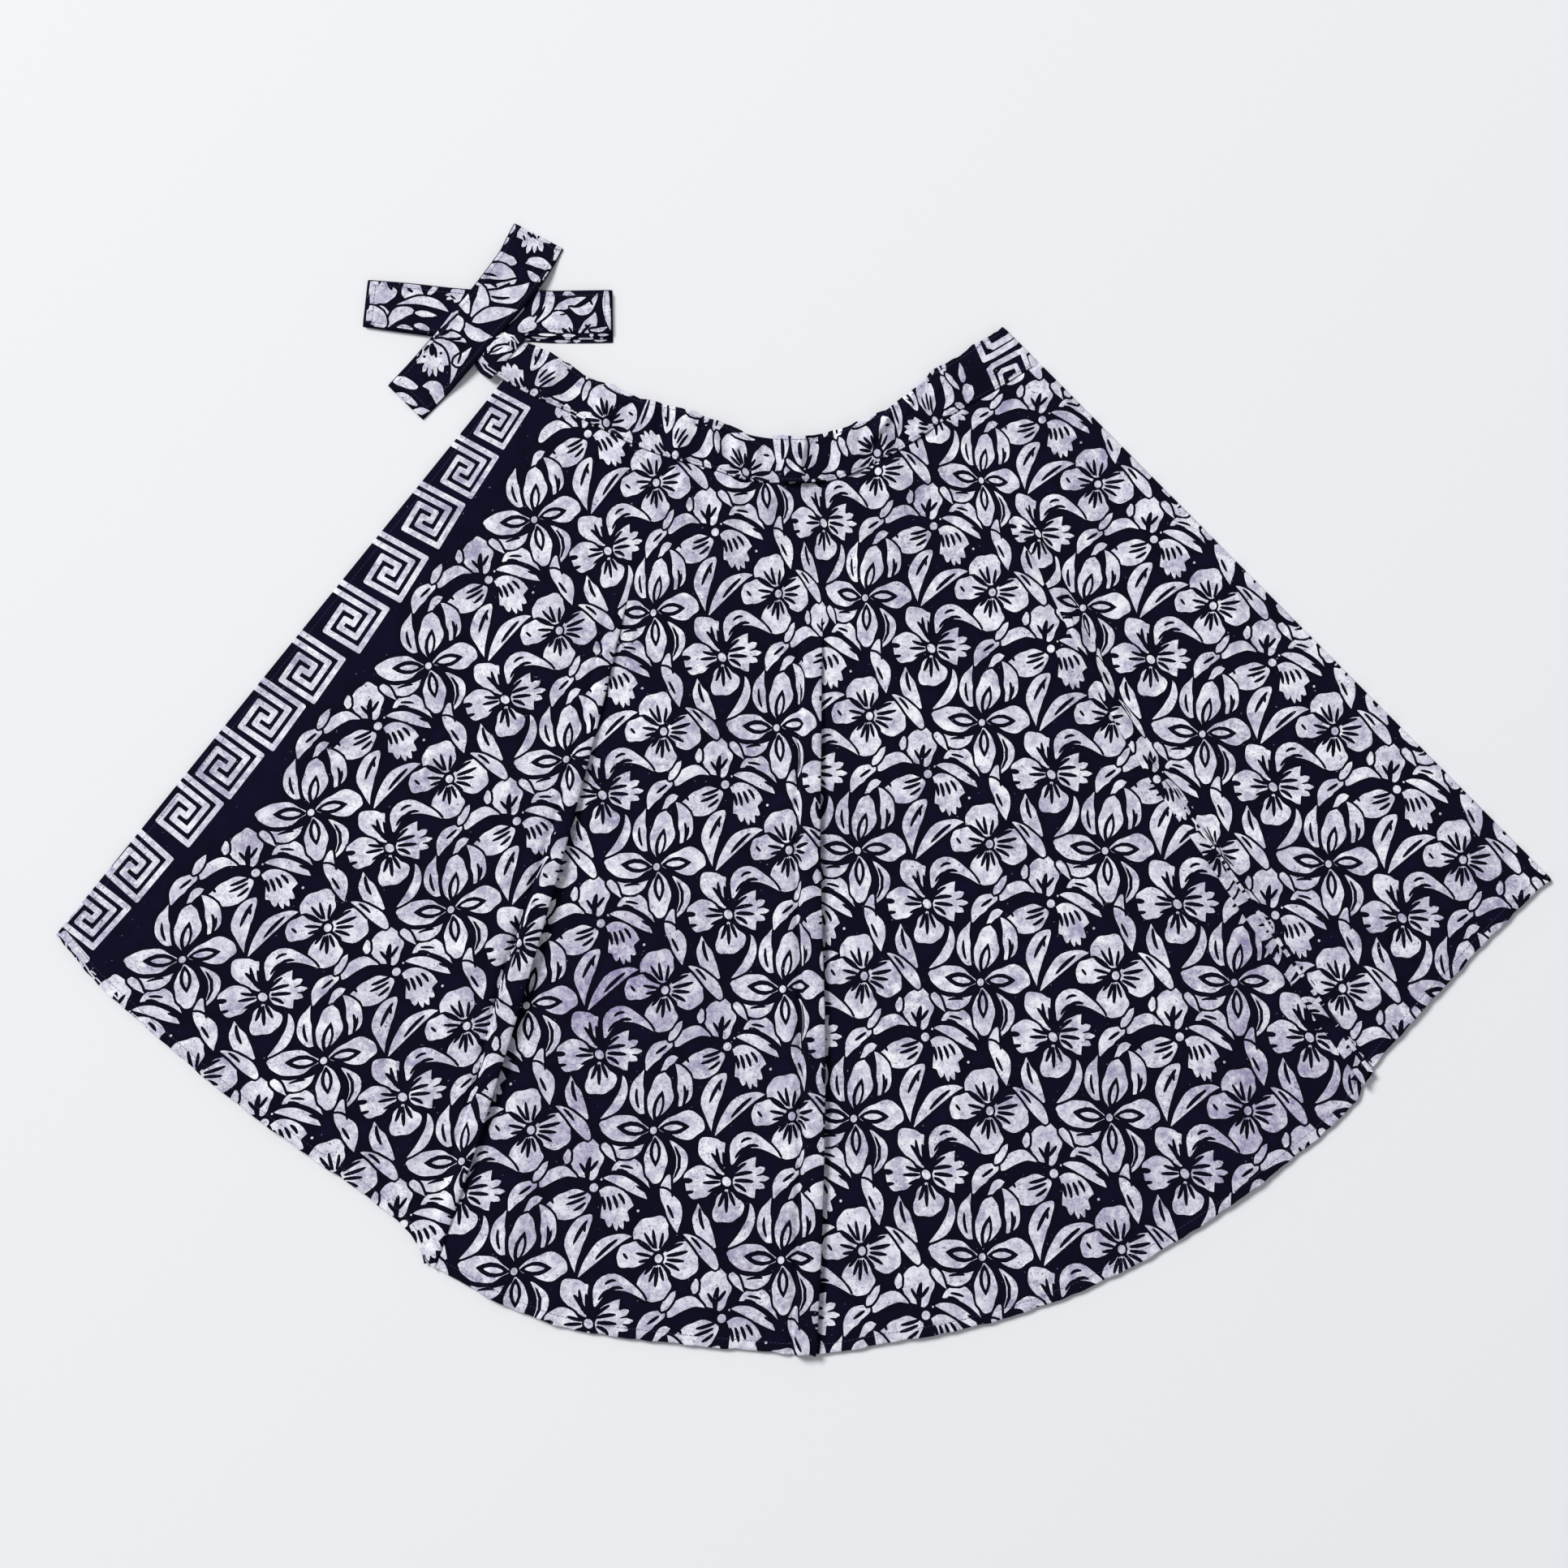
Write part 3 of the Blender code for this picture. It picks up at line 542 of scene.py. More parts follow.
def tucked(part, places):
    """The print where a fold's foot swallows some of it."""
    form = TOP_FOLDS[part]
    if not form:
        return places
    angle, radius, down = fan_down(places)
    hidden = curve_through(form.hidden, down) * fold_share(form.table, down)
    behind = form.across(angle, radius, down) + curve_through(form.foot, down)
    moved = -form.side * hidden * np.clip(behind / (hidden + SQUEEZED), 0, 1)
    turned = np.radians(angle)
    return places + pair(moved * np.cos(turned), moved * np.sin(turned))


def printed_shapes(lay, reach, keep):
    """Every petal, vein and heart of the flowers at the repeat's corners and middles as far as
    some counts each way, as (is white, outline)."""
    steps = np.arange(-reach, reach + 0.5, 0.5)
    counts = [(i, j) for i in steps for j in steps if (2 * i) % 2 == (2 * j) % 2]
    layers = ([], [], [])
    for kind, (fi, fj) in FLOWER_PLACES.items():
        flat = [(depth, *shape) for depth, shapes in enumerate(flower(kind)) for shape in shapes]
        outlines = [shape for _, _, shape in flat]
        points = np.vstack(outlines) / REPEAT
        for i, j in counts:
            if keep(lay(np.array([i + fi]), np.array([j + fj])))[0]:
                placed = split_as(lay(i + fi + points[:, 0], j + fj - points[:, 1]), outlines)
                for (depth, white, _), shape in zip(flat, placed):
                    layers[depth].append((white, shape))
    return layers[0] + layers[1] + layers[2]


# ---- cloth ----

# Where dye has crept under the wax: middle, half width, half height, strength
STAINS = (
    (-126, -119, 34, 40, 0.75), (-150, -160, 40, 34, 0.8), (-36, -47, 30, 34, 0.55),
    (-174, -262, 36, 48, 0.6), (-60, -170, 60, 60, 0.3), (324, -107, 60, 44, 0.4),
    (470, -88, 60, 50, 0.4), (350, -225, 90, 60, 0.65), (240, -300, 80, 60, 0.35),
    (-250, -200, 60, 60, 0.25), (10, -380, 120, 50, 0.2), (60, 210, 70, 30, 0.2),
)
FINE_CUT = 1.4  # longest step of the print's outlines on a fold's roll
GRID_CLEARANCE = 1.3  # least distance of the grid from an outline
FULL_OPEN = 4.0  # distance from every outline at which the ground counts as open
LEAST_SLIVER = 1e-5
PLAN_SLACK = 1e-4  # distance within which places of the plan are one
RIM_STEPS = 4
RIM_OPEN = 0.5
LEAST_ROLL = 0.05
LEAST_LOOP = 6


class Detail(NamedTuple):
    """Where a cloth's grid is finer: a test for its fine stretches, rows of places of its own,
    and a test for where those rows replace the grid and the print's outlines are cut finer."""

    fine: object = None
    rows: object = None
    rolled: object = None


def finely_cut(outline, test):
    """An outline with its long steps divided where a test holds."""
    if test is None:
        return outline
    ahead = np.roll(outline, -1, 0)
    length = np.hypot(*(ahead - outline).T)
    counts = np.where(test((outline + ahead) / 2), np.ceil(length / FINE_CUT), 1).astype(int)
    rows = [a + (b - a) * (np.arange(n) / n)[:, None] for a, b, n in zip(outline, ahead, counts)]
    return np.vstack(rows)


def grid_places(low, high, spacing, fine):
    """A grid of places with every second row set over, and a finer one near some lines."""
    rows = []
    y = low[1]
    while y < high[1]:
        x = np.arange(low[0] + len(rows) % 2 * spacing / 2, high[0], spacing)
        rows.append(pair(x, np.full(len(x), y)))
        y += spacing * math.sqrt(3) / 2
    grid = np.vstack(rows)
    if fine:
        half = grid_places(low, high, spacing / 2, None)
        grid = np.vstack([grid[~fine(grid)], half[fine(half)]])
    return grid


def cloth_plan(outline, shapes, spacing, detail):
    """Cuts an outline's inside along the shapes of its print.

    Returns places, triangles, whether each triangle is white, and how far each place is from
    the nearest outline, up to 1.
    """
    low, high = outline.min(0) - 1, outline.max(0) + 1
    close = [s for s in shapes if (s[1].max(0) > low).all() and (s[1].min(0) < high).all()]
    every = [shape for _, shape in close]
    found = split_as(inside(outline, np.vstack([np.zeros((0, 2)), *every])), every)
    kept = [(s[0], finely_cut(s[1], detail.rolled)) for s, within in zip(close, found) if within.any()]
    points = [outline] + [shape for _, shape in kept]
    lines = np.vstack(points)
    tree = tree_of(lines)
    grid = grid_places(low, high, spacing, detail.fine)
    if detail.rolled:
        grid = np.vstack([grid[~detail.rolled(grid)], detail.rows])
    grid = grid[inside(outline, grid)]
    room = np.array([tree.find((x, y, 0))[2] for x, y in grid])
    grid, room = grid[room > GRID_CLEARANCE], room[room > GRID_CLEARANCE]
    starts = np.cumsum([0] + [len(part) for part in points])
    faces = []
    for part, start, end in zip(points, starts, starts[1:]):
        faces.append(list(range(start, end))[:: 1 if signed_area(part) > 0 else -1])
    every = [Vector(place) for place in np.vstack([lines, grid])]
    places, _, cells, place_from, _, cell_from = delaunay_2d_cdt(every, [], faces, 0, PLAN_SLACK)
    places = np.array([tuple(place) for place in places])
    within = [(cell, max(sources)) for cell, sources in zip(cells, cell_from) if 0 in sources]
    triangles = np.array([cell for cell, _ in within])
    whites = np.array([bool(top and kept[top - 1][0]) for _, top in within])
    a, b, c = (places[triangles[:, k]] for k in range(3))
    turned = np.cross(b - a, c - a)
    triangles[turned < 0] = triangles[turned < 0][:, ::-1]
    sound = np.abs(turned) > LEAST_SLIVER
    openness = np.zeros(len(places))
    for k, sources in enumerate(place_from):
        if sources and min(sources) >= len(lines):
            openness[k] = min(room[min(sources) - len(lines)] / FULL_OPEN, 1.0)
    used, triangles = np.unique(triangles[sound], return_inverse=True)
    return places[used], triangles.reshape(-1, 3), whites[sound], openness[used]


def edge_slots(triangles, whites):
    """The slot of the triangle behind each edge."""
    slots = {}
    for (a, b, c), white in zip(triangles.tolist(), whites.tolist()):
        for edge in ((a, b), (b, c), (c, a)):
            slots[edge] = int(white)
    return slots


def edge_loops(edges):
    """The closed chains of outer edges, each running with the cloth on its left."""
    following = {}
    for a, b in edges:
        if (b, a) not in edges:
            following.setdefault(a, []).append(b)
    loops = []
    while following:
        start = here = next(iter(following))
        loop = []
        while not loop or here != start:
            loop.append(here)
            there = following[here].pop()
            if not following[here]:
                del following[here]
            here = there
        loops.append(loop)
    return loops


def outward(ring):
    """Direction away from the cloth at each place of a loop."""
    ahead = unit(np.roll(ring, -1, 0) - ring)
    square = pair(ahead[:, 1], -ahead[:, 0])
    return unit(square + np.roll(square, 1, 0), 0.3)


def cloth_mesh(outline, rims, shapes, height, spacing, detail=Detail(), closed=False):
    """A printed cloth with rolled edges.

    rims has the roll's radius and how far the cloth runs back under itself, for each place of
    the outline. A closed cloth has an underside too.
    """
    places, triangles, whites, openness = cloth_plan(outline, shapes, spacing, detail)
    top = np.column_stack([places, height(places)])
    points, opens = [top], [openness]
    faces = [tuple(t) for t in triangles.tolist()]
    slots = [int(w) for w in whites]
    count = len(places)
    tree = tree_of(outline)
    behind = edge_slots(triangles, whites)
    for loop in edge_loops(behind):
        if len(loop) < LEAST_LOOP:
            continue
        radius, back = rims[[tree.find((*places[v], 0))[1] for v in loop]].T
        away = outward(places[loop])
        rings = []
        for step in range(1, RIM_STEPS + 1):
            turn = math.pi * step / RIM_STEPS
            out, sunk = radius * math.sin(turn), radius * (1 - math.cos(turn))
            rings.append(np.column_stack([places[loop] + away * out[:, None], top[loop][:, 2] - sunk]))
        if not closed:
            rings.append(rings[-1] - np.column_stack([away * back[:, None], np.zeros(len(loop))]))
        previous = list(loop)
        for ring in rings:
            numbers = list(range(count, count + len(loop)))
            points.append(ring)
            opens.append(np.full(len(loop), RIM_OPEN))
            count += len(loop)
            for k in range(len(loop)):
                m = (k + 1) % len(loop)
                if closed or max(radius[k], radius[m]) >= LEAST_ROLL:
                    faces.append((previous[k], numbers[k], numbers[m], previous[m]))
                    slots.append(behind[(loop[k], loop[m])])
            previous = numbers
        if closed:
            under = top.copy()
            under[:, 2] -= 2 * radius.mean()
            under[loop] = rings[-1]
            points.append(under)
            opens.append(openness)
            faces += [(count + c, count + b, count + a) for a, b, c in triangles.tolist()]
            slots += [int(w) for w in whites]
            welds = dict(zip(previous, (count + v for v in loop)))
            faces = [tuple(welds.get(v, v) for v in face) for face in faces]
            count += len(under)
    return np.vstack(points), faces, slots, np.concatenate(opens)


def joined_piece(name, parts, materials):
    """One object of several cloths."""
    points, faces, slots, opens = [], [], [], []
    for made in (cloth_mesh(*part) for part in parts):
        start = sum(len(part) for part in points)
        points.append(made[0])
        faces += [tuple(start + v for v in face) for face in made[1]]
        slots += made[2]
        opens.append(made[3])
    return mesh_object(name, np.vstack(points), faces, slots, np.concatenate(opens), materials)


def stained(points):
    """How much dye has crept under the wax."""
    amount = np.zeros(len(points))
    for x, y, wide, tall, strength in STAINS:
        away = ((points[:, 0] - x) / wide) ** 2 + ((points[:, 1] - y) / tall) ** 2
        amount += strength * np.exp(-away)
    return np.clip(amount, 0, 1)


def linked(name, data, place=(0, 0, 0)):
    """A new object in the scene."""
    obj = bpy.data.objects.new(name, data)
    obj.location = place
    bpy.context.scene.collection.objects.link(obj)
    return obj


def mesh_object(name, points, faces, slots, opens, materials):
    """A piece of the garment, kept above the floor and without unused places."""
    used = sorted({v for face in faces for v in face})
    numbers = np.full(len(points), -1)
    numbers[used] = np.arange(len(used))
    points = points[used]
    points[:, 2] = np.maximum(points[:, 2], 0)
    mesh = bpy.data.meshes.new(name)
    mesh.from_pydata((points * MM).tolist(), [], [tuple(int(numbers[v]) for v in f) for f in faces])
    for material in materials:
        mesh.materials.append(material)
    mesh.polygons.foreach_set("material_index", slots)
    for label, values in (("open", opens[used]), ("stain", stained(points))):
        layer = mesh.attributes.new(label, "FLOAT", "POINT")
        layer.data.foreach_set("value", values.astype(np.float32))
    mesh.shade_smooth()
    mesh.update()
    obj = linked(name, mesh)
    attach(obj, "root")
    return obj


# ---- the front ----

FRONT_NAMES = (
    "front_cloth_left", "front_cloth_left_middle", "front_cloth_right_middle", "front_cloth_right",
)
# The flat cut of each of them: width, length and area in metres
FRONT_CUTS = ((0.47, 0.74, 0.17), (0.33, 0.72, 0.14), (0.43, 0.74, 0.16), (0.26, 0.72, 0.10))

# Soft swells: angle, share of the way down, half width, half length, height
SWELLS = (
    (-33, 0.55, 40, 190, 1.6), (-24, 0.85, 55, 150, 2.6), (-21, 0.3, 26, 120, 2),
    (-17.6, 0.8, 13, 150, 2.4), (-11.8, 0.96, 13, 55, 2.6), (-9.4, 0.98, 11, 45, 2.2),
    (-6, 0.45, 30, 200, 1.8), (-3, 0.9, 34, 120, 1.6), (8, 0.75, 42, 180, 1.8), (14, 0.2, 22, 90, 2.2),
    (19, 0.6, 48, 170, 2.4), (24, 0.95, 30, 80, 1.8), (27, 0.3, 20, 120, 1.8), (34, 0.35, 18, 130, 1.9),
    (36, 0.85, 34, 110, 2.2), (41, 0.55, 26, 160, 1.5),
)
PUCKERS = (
    (-19, 0.02, 7, 34, 2.2), (-9, 0.02, 6, 40, 2.4), (-3, 0.02, 7, 52, 3), (2, 0.02, 5, 40, 2.2),
    (13, 0.02, 6, 46, 2.6), (19, 0.02, 7, 50, 2.4), (26, 0.02, 6, 40, 2),
)
# Creases along curved lines: x and y of start, middle and end, half width, height, and 1 where
# the crease's left side is steep, -1 where its right one is
CREASES = (
    (-262, -246, -250, -276, -238, -306, 5, 1, 1), (-300, -150, -286, -190, -280, -236, 7, 1.2, -1),
    (-390, -60, -360, -100, -345, -150, 8, 1.1, 1), (-340, 60, -318, 18, -306, -30, 7, 0.9, -1),
    (-205, 200, -215, 160, -232, 120, 6, 0.9, 1), (-110, 40, -118, 0, -120, -48, 7, 0.9, -1),
    (-60, -250, -66, -300, -64, -352, 7, 1.1, 1), (60, 120, 66, 70, 64, 10, 7, 1, -1),
    (120, 60, 140, 10, 150, -50, 8, 1.1, 1), (100, -180, 108, -230, 106, -290, 8, 1.1, -1),
    (190, -120, 206, -170, 214, -230, 8, 1, 1), (230, 130, 262, 92, 300, 62, 7, 1, -1),
    (330, 20, 362, -20, 400, -50, 8, 1.1, 1), (400, -120, 430, -134, 470, -140, 7, 1, -1),
    (300, -150, 320, -190, 328, -240, 7, 1.1, 1), (-20, 190, -22, 160, -20, 120, 5, 1.2, -1),
    (40, 196, 46, 166, 46, 130, 5, 1.2, 1), (92, 222, 104, 196, 110, 160, 5, 1.1, -1),
    (-120, 216, -128, 188, -130, 150, 5, 1, 1),
)
CREASE_STEPS = 40
CREASE_REACH = 4  # half widths beyond which a crease is flat
CREASE_STEEP = 2.2  # how many times narrower the steep side is
CREASE_FADE = 0.6  # how slowly it fades towards its ends
EDGE_CALM = 3.0  # degrees beside an edge in which swells and creases die out
SEAM_CALM = 10  # the same below the waist seam, in millimetres
# The dip at the waist seam: depth and reach
SEAM_DIP = 0.8
SEAM_DIP_REACH = 1.4
# How far the cloth runs back under itself at a side seam and at a hem
SEAM_TUCK = 2.0
HEM_TUCK = 8.0
# How uneven the hem is: beats to a degree and size
HEM_RIPPLES = ((1.9, 0.3), (4.1, 0.3), (7.3, 0.22))
SIDE_STEPS = 170
# Places to a degree along the hem and along the waistband's edges
HEM_PLACES = 5
TOP_PLACES = 1.6
FRONT_GRID = 6.0
# The grid is finer in this share below the seam and as far as this beside a fold
FINE_TOP = 0.1
FINE_REACH = 26
# Rows of the mesh on a fold's roll: places past its foot and back from its crest
FOOT_ROWS = (-9, -7, -5.2, -3.6, -2.3, -1.2, -0.3, 0.7, 1.8, 2.9, 4.0, 5.4)
CREST_ROWS = (9.5, 7.6, 5.8, 4.2, 2.8, 1.5)
ROLL_ROWS_BEHIND = 10
CROWN_DROP = 0.34  # share of its height by which a fold's crown is rounded off
# The groove at a fold's foot and the bulge behind it: place, width, and the bulge's climb
GROOVE_PLACE = 0.4
GROOVE_WIDTH = 1.7
BULGE_PLACE = 7.5
BULGE_WIDTH = 6.0
BULGE_CLIMB = 3
LAPPED = 3  # how far a layer goes on beyond the crown of the fold that it lies in
UNDERLAP = 1.5  # how far the layer beneath goes on beyond the overhang


class FoldForm(NamedTuple):
    """How the cloth over a fold stands.

    The tables run down the fold, as shares of the way down and values: the roll's height, how
    far behind the crest its foot lies, how much of the print the foot swallows, and how wide
    the climb from the foot is. Then come the width of the crown, the radius of the crest's
    roll, the depth of the groove at the foot and the height of the bulge behind it.
    """

    table: tuple
    side: int  # 1 where the crest is on the part's right, -1 on its left
    height: tuple
    foot: tuple
    hidden: tuple
    slope: tuple
    crown: float
    roll: float
    groove: float
    bulge: float

    def across(self, angle, radius, down):
        """How far past the crest places are."""
        return self.side * np.radians(angle - curve_through(self.table, down)) * radius

    def rise(self, angle, radius, down):
        across = self.across(angle, radius, down)
        behind = across + curve_through(self.foot, down)
        near = np.clip(1 + across / self.crown, 0, 1)
        rounded = CROWN_DROP * (1 - np.sqrt(np.clip(1 - near**2, 0, 1)))
        height = curve_through(self.height, down)
        roll = height * smoothstep(behind / curve_through(self.slope, down)) * (1 - rounded)
        deep = height / max(row[1] for row in self.height)
        groove = self.groove * np.exp(-(((behind + GROOVE_PLACE) / GROOVE_WIDTH) ** 2))
        bulge = self.bulge * np.exp(-(((behind + BULGE_PLACE) / BULGE_WIDTH) ** 2))
        lifted = roll + deep * (bulge * smoothstep(-behind / BULGE_CLIMB) - groove)
        return fold_share(self.table, down) * lifted


# The fold that each part of the front lies over
TOP_FOLDS = (
    FoldForm(
        LEFT_FOLD, 1,
        ((0, 2.5), (0.3, 4.5), (0.41, 7), (0.5, 10.5), (0.74, 10.5), (0.86, 6.5), (0.93, 2.8), (1, 1.2)),
        ((0, 12), (0.42, 12.5), (0.5, 14.5), (0.62, 18), (0.7, 18.5), (0.76, 15.5), (1, 15)),
        ((0, 0), (0.37, 0), (0.48, 6), (0.74, 6), (0.86, 0), (1, 0)),
        ((0, 3.4), (0.8, 3.4), (0.88, 8), (1, 12)), 6.5, 1.5, 2.0, 1.4,
    ),
    FoldForm(
        CENTRE_FOLD, 1,
        ((0, 3), (0.2, 4), (0.3, 6.5), (0.42, 8), (0.9, 8), (1, 6)),
        ((0, 17), (0.3, 17), (0.5, 18), (1, 18)),
        ((0, 0), (0.17, 0), (0.25, 5), (0.76, 5), (0.9, 2), (1, 0)),
        ((0, 3.6), (1, 3.6)), 5.5, 1.3, 1.6, 1.3,
    ),
    None,
    FoldForm(
        RIGHT_FOLD, -1,
        ((0, 2), (0.2, 4.5), (0.5, 6), (1, 6)), ((0, 15), (1, 15)),
        ((0, 1), (0.15, 3), (0.3, 6), (1, 6)), ((0, 13), (1, 13)), 8, 1.0, 0, 0,
    ),
)


def swelling(table, angle, down, radius, length):
    """Height of rounded swells."""
    height = np.zeros_like(angle)
    for centre, centre_down, half_width, half_length, top in table:
        across = np.radians(angle - centre) * radius / half_width
        along = (down - centre_down) * length / half_length
        height += top * np.exp(-(across**2) - along**2)
    return height


def creased(table, places):
    """Height of creases along curved lines."""
    height = np.zeros(len(places))
    for *spine, width, top, lean in table:
        t = np.linspace(0, 1, CREASE_STEPS)
        x, y, dx, dy = spine_points(*spine, t)
        x0, y0, xm, ym, x1, y1 = spine
        near = (np.abs(places - (xm, ym)) < np.hypot(x1 - x0, y1 - y0) + CREASE_REACH * width).all(1)
        rel = places[near][:, None] - pair(x, y)[None]
        away = np.hypot(rel[..., 0], rel[..., 1])
        k = away.argmin(1)
        rows = np.arange(len(k))
        side = dx[k] * rel[rows, k, 1] - dy[k] * rel[rows, k, 0]
        squeeze = np.where(side * lean > 0, CREASE_STEEP, 1.0)
        fade = np.sin(math.pi * np.clip(t[k], 0.001, 0.999)) ** CREASE_FADE
        height[near] += top * fade * np.exp(-(away[rows, k] * squeeze / width) ** 2)
    return height


def waist_rise(down, hem_height, band_height):
    """How far a panel stands above its height at the hem."""
    return (band_height - hem_height) * smoothstep(1 - down / WAIST_RISE)


def front_height(part):
    """The height of the front's upper face on one of its parts between the folds."""

    def height(places):
        angle, radius, down = fan_down(places)
        lift = swelling(SWELLS + PUCKERS, angle, down, radius, PANEL_LENGTH)
        edge = np.minimum(angle - LEFT_ANGLE, RIGHT_ANGLE - angle)
        from_seam = radius - seam_radius(angle)
        lift = (lift + creased(CREASES, places)) * smoothstep(edge / EDGE_CALM)
        lift *= smoothstep(from_seam / SEAM_CALM)
        rise = waist_rise(down, FRONT_HEIGHT, BAND_FRONT_HEIGHT)
        dip = SEAM_DIP * (1 - np.clip(from_seam / SEAM_DIP_REACH, 0, 1)) ** 2
        form = TOP_FOLDS[part]
        folded = form.rise(angle, radius, down) if form else 0
        return FRONT_HEIGHT + CLOTH / 2 + rise + lift + folded - dip

    return height


def part_side(part, right):
    """One side of a part of the front: its places, and its roll's radius and tuck."""
    down = np.linspace(0, 1, SIDE_STEPS)
    table = (RIGHT_LINES if right else LEFT_LINES)[part]
    out = 1 if right else -1
    if table is None:
        radii = down_radii(np.full(SIDE_STEPS, RIGHT_ANGLE if right else LEFT_ANGLE), down)
        rise = waist_rise(down, FRONT_HEIGHT, BAND_FRONT_HEIGHT)
        roll = (FRONT_HEIGHT + CLOTH / 2 + rise) / 2 if right else np.full(SIDE_STEPS, CLOTH / 2)
        tuck = np.full(SIDE_STEPS, SEAM_TUCK if right else HEM_TUCK)
        return fan_line(RIGHT_ANGLE if right else LEFT_ANGLE, radii, -out * roll), pair(roll, tuck)
    angle = curve_through(table, down)
    radii = down_radii(angle, down)
    overhang = curve_through(table, down, 2)
    share = fold_share(table, down)
    form = TOP_FOLDS[part]
    if form and form.table is table:
        roll = form.roll * share
        tuck = np.clip(overhang - form.roll, 0, form.crown + LAPPED) * share
        return fan_line(angle, radii, -out * roll), pair(roll, tuck)
    reach = np.minimum(overhang + UNDERLAP, TOP_FOLDS[part + out].crown + LAPPED) * share
    return fan_line(angle, radii, out * reach), np.zeros((SIDE_STEPS, 2))


def angle_steps(start, end, places):
    """Angles between two places of an edge, so many to a degree."""
    low, high = fan_measure(start)[0], fan_measure(end)[0]
    return np.linspace(low, high, max(int((high - low) * places), 8))[1:-1]


def part_outline(part):
    """A part of the front between two folds, anticlockwise, with its rims."""
    left, left_rims = part_side(part, False)
    right, right_rims = part_side(part, True)
    hem_angles = angle_steps(left[-1], right[-1], HEM_PLACES)
    top_angles = angle_steps(left[0], right[0], TOP_PLACES)[::-1]
    hem = fan_place(hem_angles, down_radii(hem_angles, 1.0) - ripple(HEM_RIPPLES, hem_angles, 1, 1))
    top = fan_place(top_angles, down_radii(top_angles, 0.0))
    hem_rims = np.tile([CLOTH / 2, HEM_TUCK], (len(hem), 1))
    rims = np.vstack([left_rims, hem_rims, right_rims[::-1], np.zeros((len(top), 2))])
    return np.vstack([left, hem, right[::-1], top]), rims


def front_detail(part):
    """The front's grid is fine beside its folds and under the waistband, and has rows of
    places along the roll over a fold."""
    form = TOP_FOLDS[part]

    def fine(places):
        angle, radius, down = fan_down(places)
        near = down < FINE_TOP
        for table in (LEFT_LINES[part], RIGHT_LINES[part]):
            if table:
                near |= np.abs(np.radians(angle - curve_through(table, down)) * radius) < FINE_REACH
        return near

    if not form:
        return Detail(fine)

    def rolled(places):
        angle, radius, down = fan_down(places)
        across = form.across(angle, radius, down)
        behind = across + curve_through(form.foot, down)
        return (behind > -ROLL_ROWS_BEHIND) & (across < 1) & (fold_share(form.table, down) > 0)

    down = np.linspace(0, 1, SIDE_STEPS * 2)
    angle = curve_through(form.table, down)
    radii = down_radii(angle, down)
    foot = curve_through(form.foot, down)
    rows = []
    for k, shift in enumerate([place - foot for place in FOOT_ROWS] + [-place for place in CREST_ROWS]):
        row = fan_line(angle, radii, form.side * shift)[k % 2 :: 2]
        rows.append(row[rolled(row) & (foot[k % 2 :: 2] > 0)])
    return Detail(fine, np.vstack(rows), rolled)


# The key border along the front's free edge: x and y of each unit's outer corner on its
# right, the direction along the border from straight down, the direction across, and the step
# along and across
KEY_UNITS = (
    (-201.3, 281.4, 33, 28, 6.7, 5.6), (-224.7, 245.4, 33, 29, 6.8, 5.9), (-249.3, 210, 31, 28, 7, 7),
    (-276.3, 171, 32, 29, 7.2, 7), (-305.1, 133.2, 34, 31, 7.3, 7.1), (-337.5, 96, 35, 33, 7.4, 7.1),
    (-366.9, 61.2, 36, 34, 7.5, 7.1), (-397.5, 25.2, 38, 36, 7.6, 7.1), (-427.5, -10.8, 39, 39, 7.6, 7),
    (-464.7, -51.6, 40, 42, 7.7, 6.9), (-495.9, -87.6, 42, 38, 7.7, 7),
)
# The white line of one unit, in steps across and along from its first place on the edge
KEY_LINE = (
    (-3, 0), (4, 0), (4, 5), (0, 5), (0, 2), (2, 2), (2, 3), (1, 3), (1, 4), (3, 4), (3, 1), (-3, 1),
)
KEY_WIDTH = 0.58  # of the line, as a share of a step
BORDER_CLEAR = 42  # how far from the free edge the print begins
FLOWERS_CLEAR = 60  # the same for the middles of its flowers
# White bits that the turned hem shows at the free edge's end: width and places
HEM_BITS = (
    (2.4, ((-551.7, -106.8), (-546.9, -108.6))), (6, ((-545.7, -108), (-530.5, -125.4))),
    (1.1, ((-550.9, -110.6), (-549.3, -114.6))), (1.1, ((-548.5, -111.6), (-545.7, -116.2))),
    (1.2, ((-551.1, -112.3), (-547.3, -117.4))), (1.2, ((-544.9, -113.4), (-544.1, -118.2))),
    (1.2, ((-542.9, -120.2), (-539.1, -124.8))), (1.2, ((-540.3, -118.8), (-535.5, -123.6))),
    (1, ((-538.1, -126.2), (-536.9, -124.8))), (1.4, ((-535.3, -123.8), (-533.1, -129.6))),
    (1.1, ((-532.5, -127.4), (-528.3, -133.4))), (1.1, ((-532.6, -131), (-530.5, -130.2))),
    (1.1, ((-528.1, -134.2), (-523.5, -139.7))), (1, ((-526.1, -134.4), (-522.9, -136.8))),
    (1, ((-522.3, -139.7), (-518.7, -143.4))), (1, ((-517.7, -145.2), (-513.7, -148.3))),
    (1, ((-510.9, -150.2), (-506.7, -154.6))), (0.8, ((-495.9, -165.6), (-491.1, -169.4))),
    (1, ((-486.3, -172.8), (-481.5, -177.8))), (0.8, ((-479.7, -178.6), (-475.5, -183.6))),
)


def border_across(places):
    """How far places are from the front's free edge."""
    along = math.radians(LEFT_ANGLE)
    return (places - APEX) @ np.array([math.cos(along), math.sin(along)])


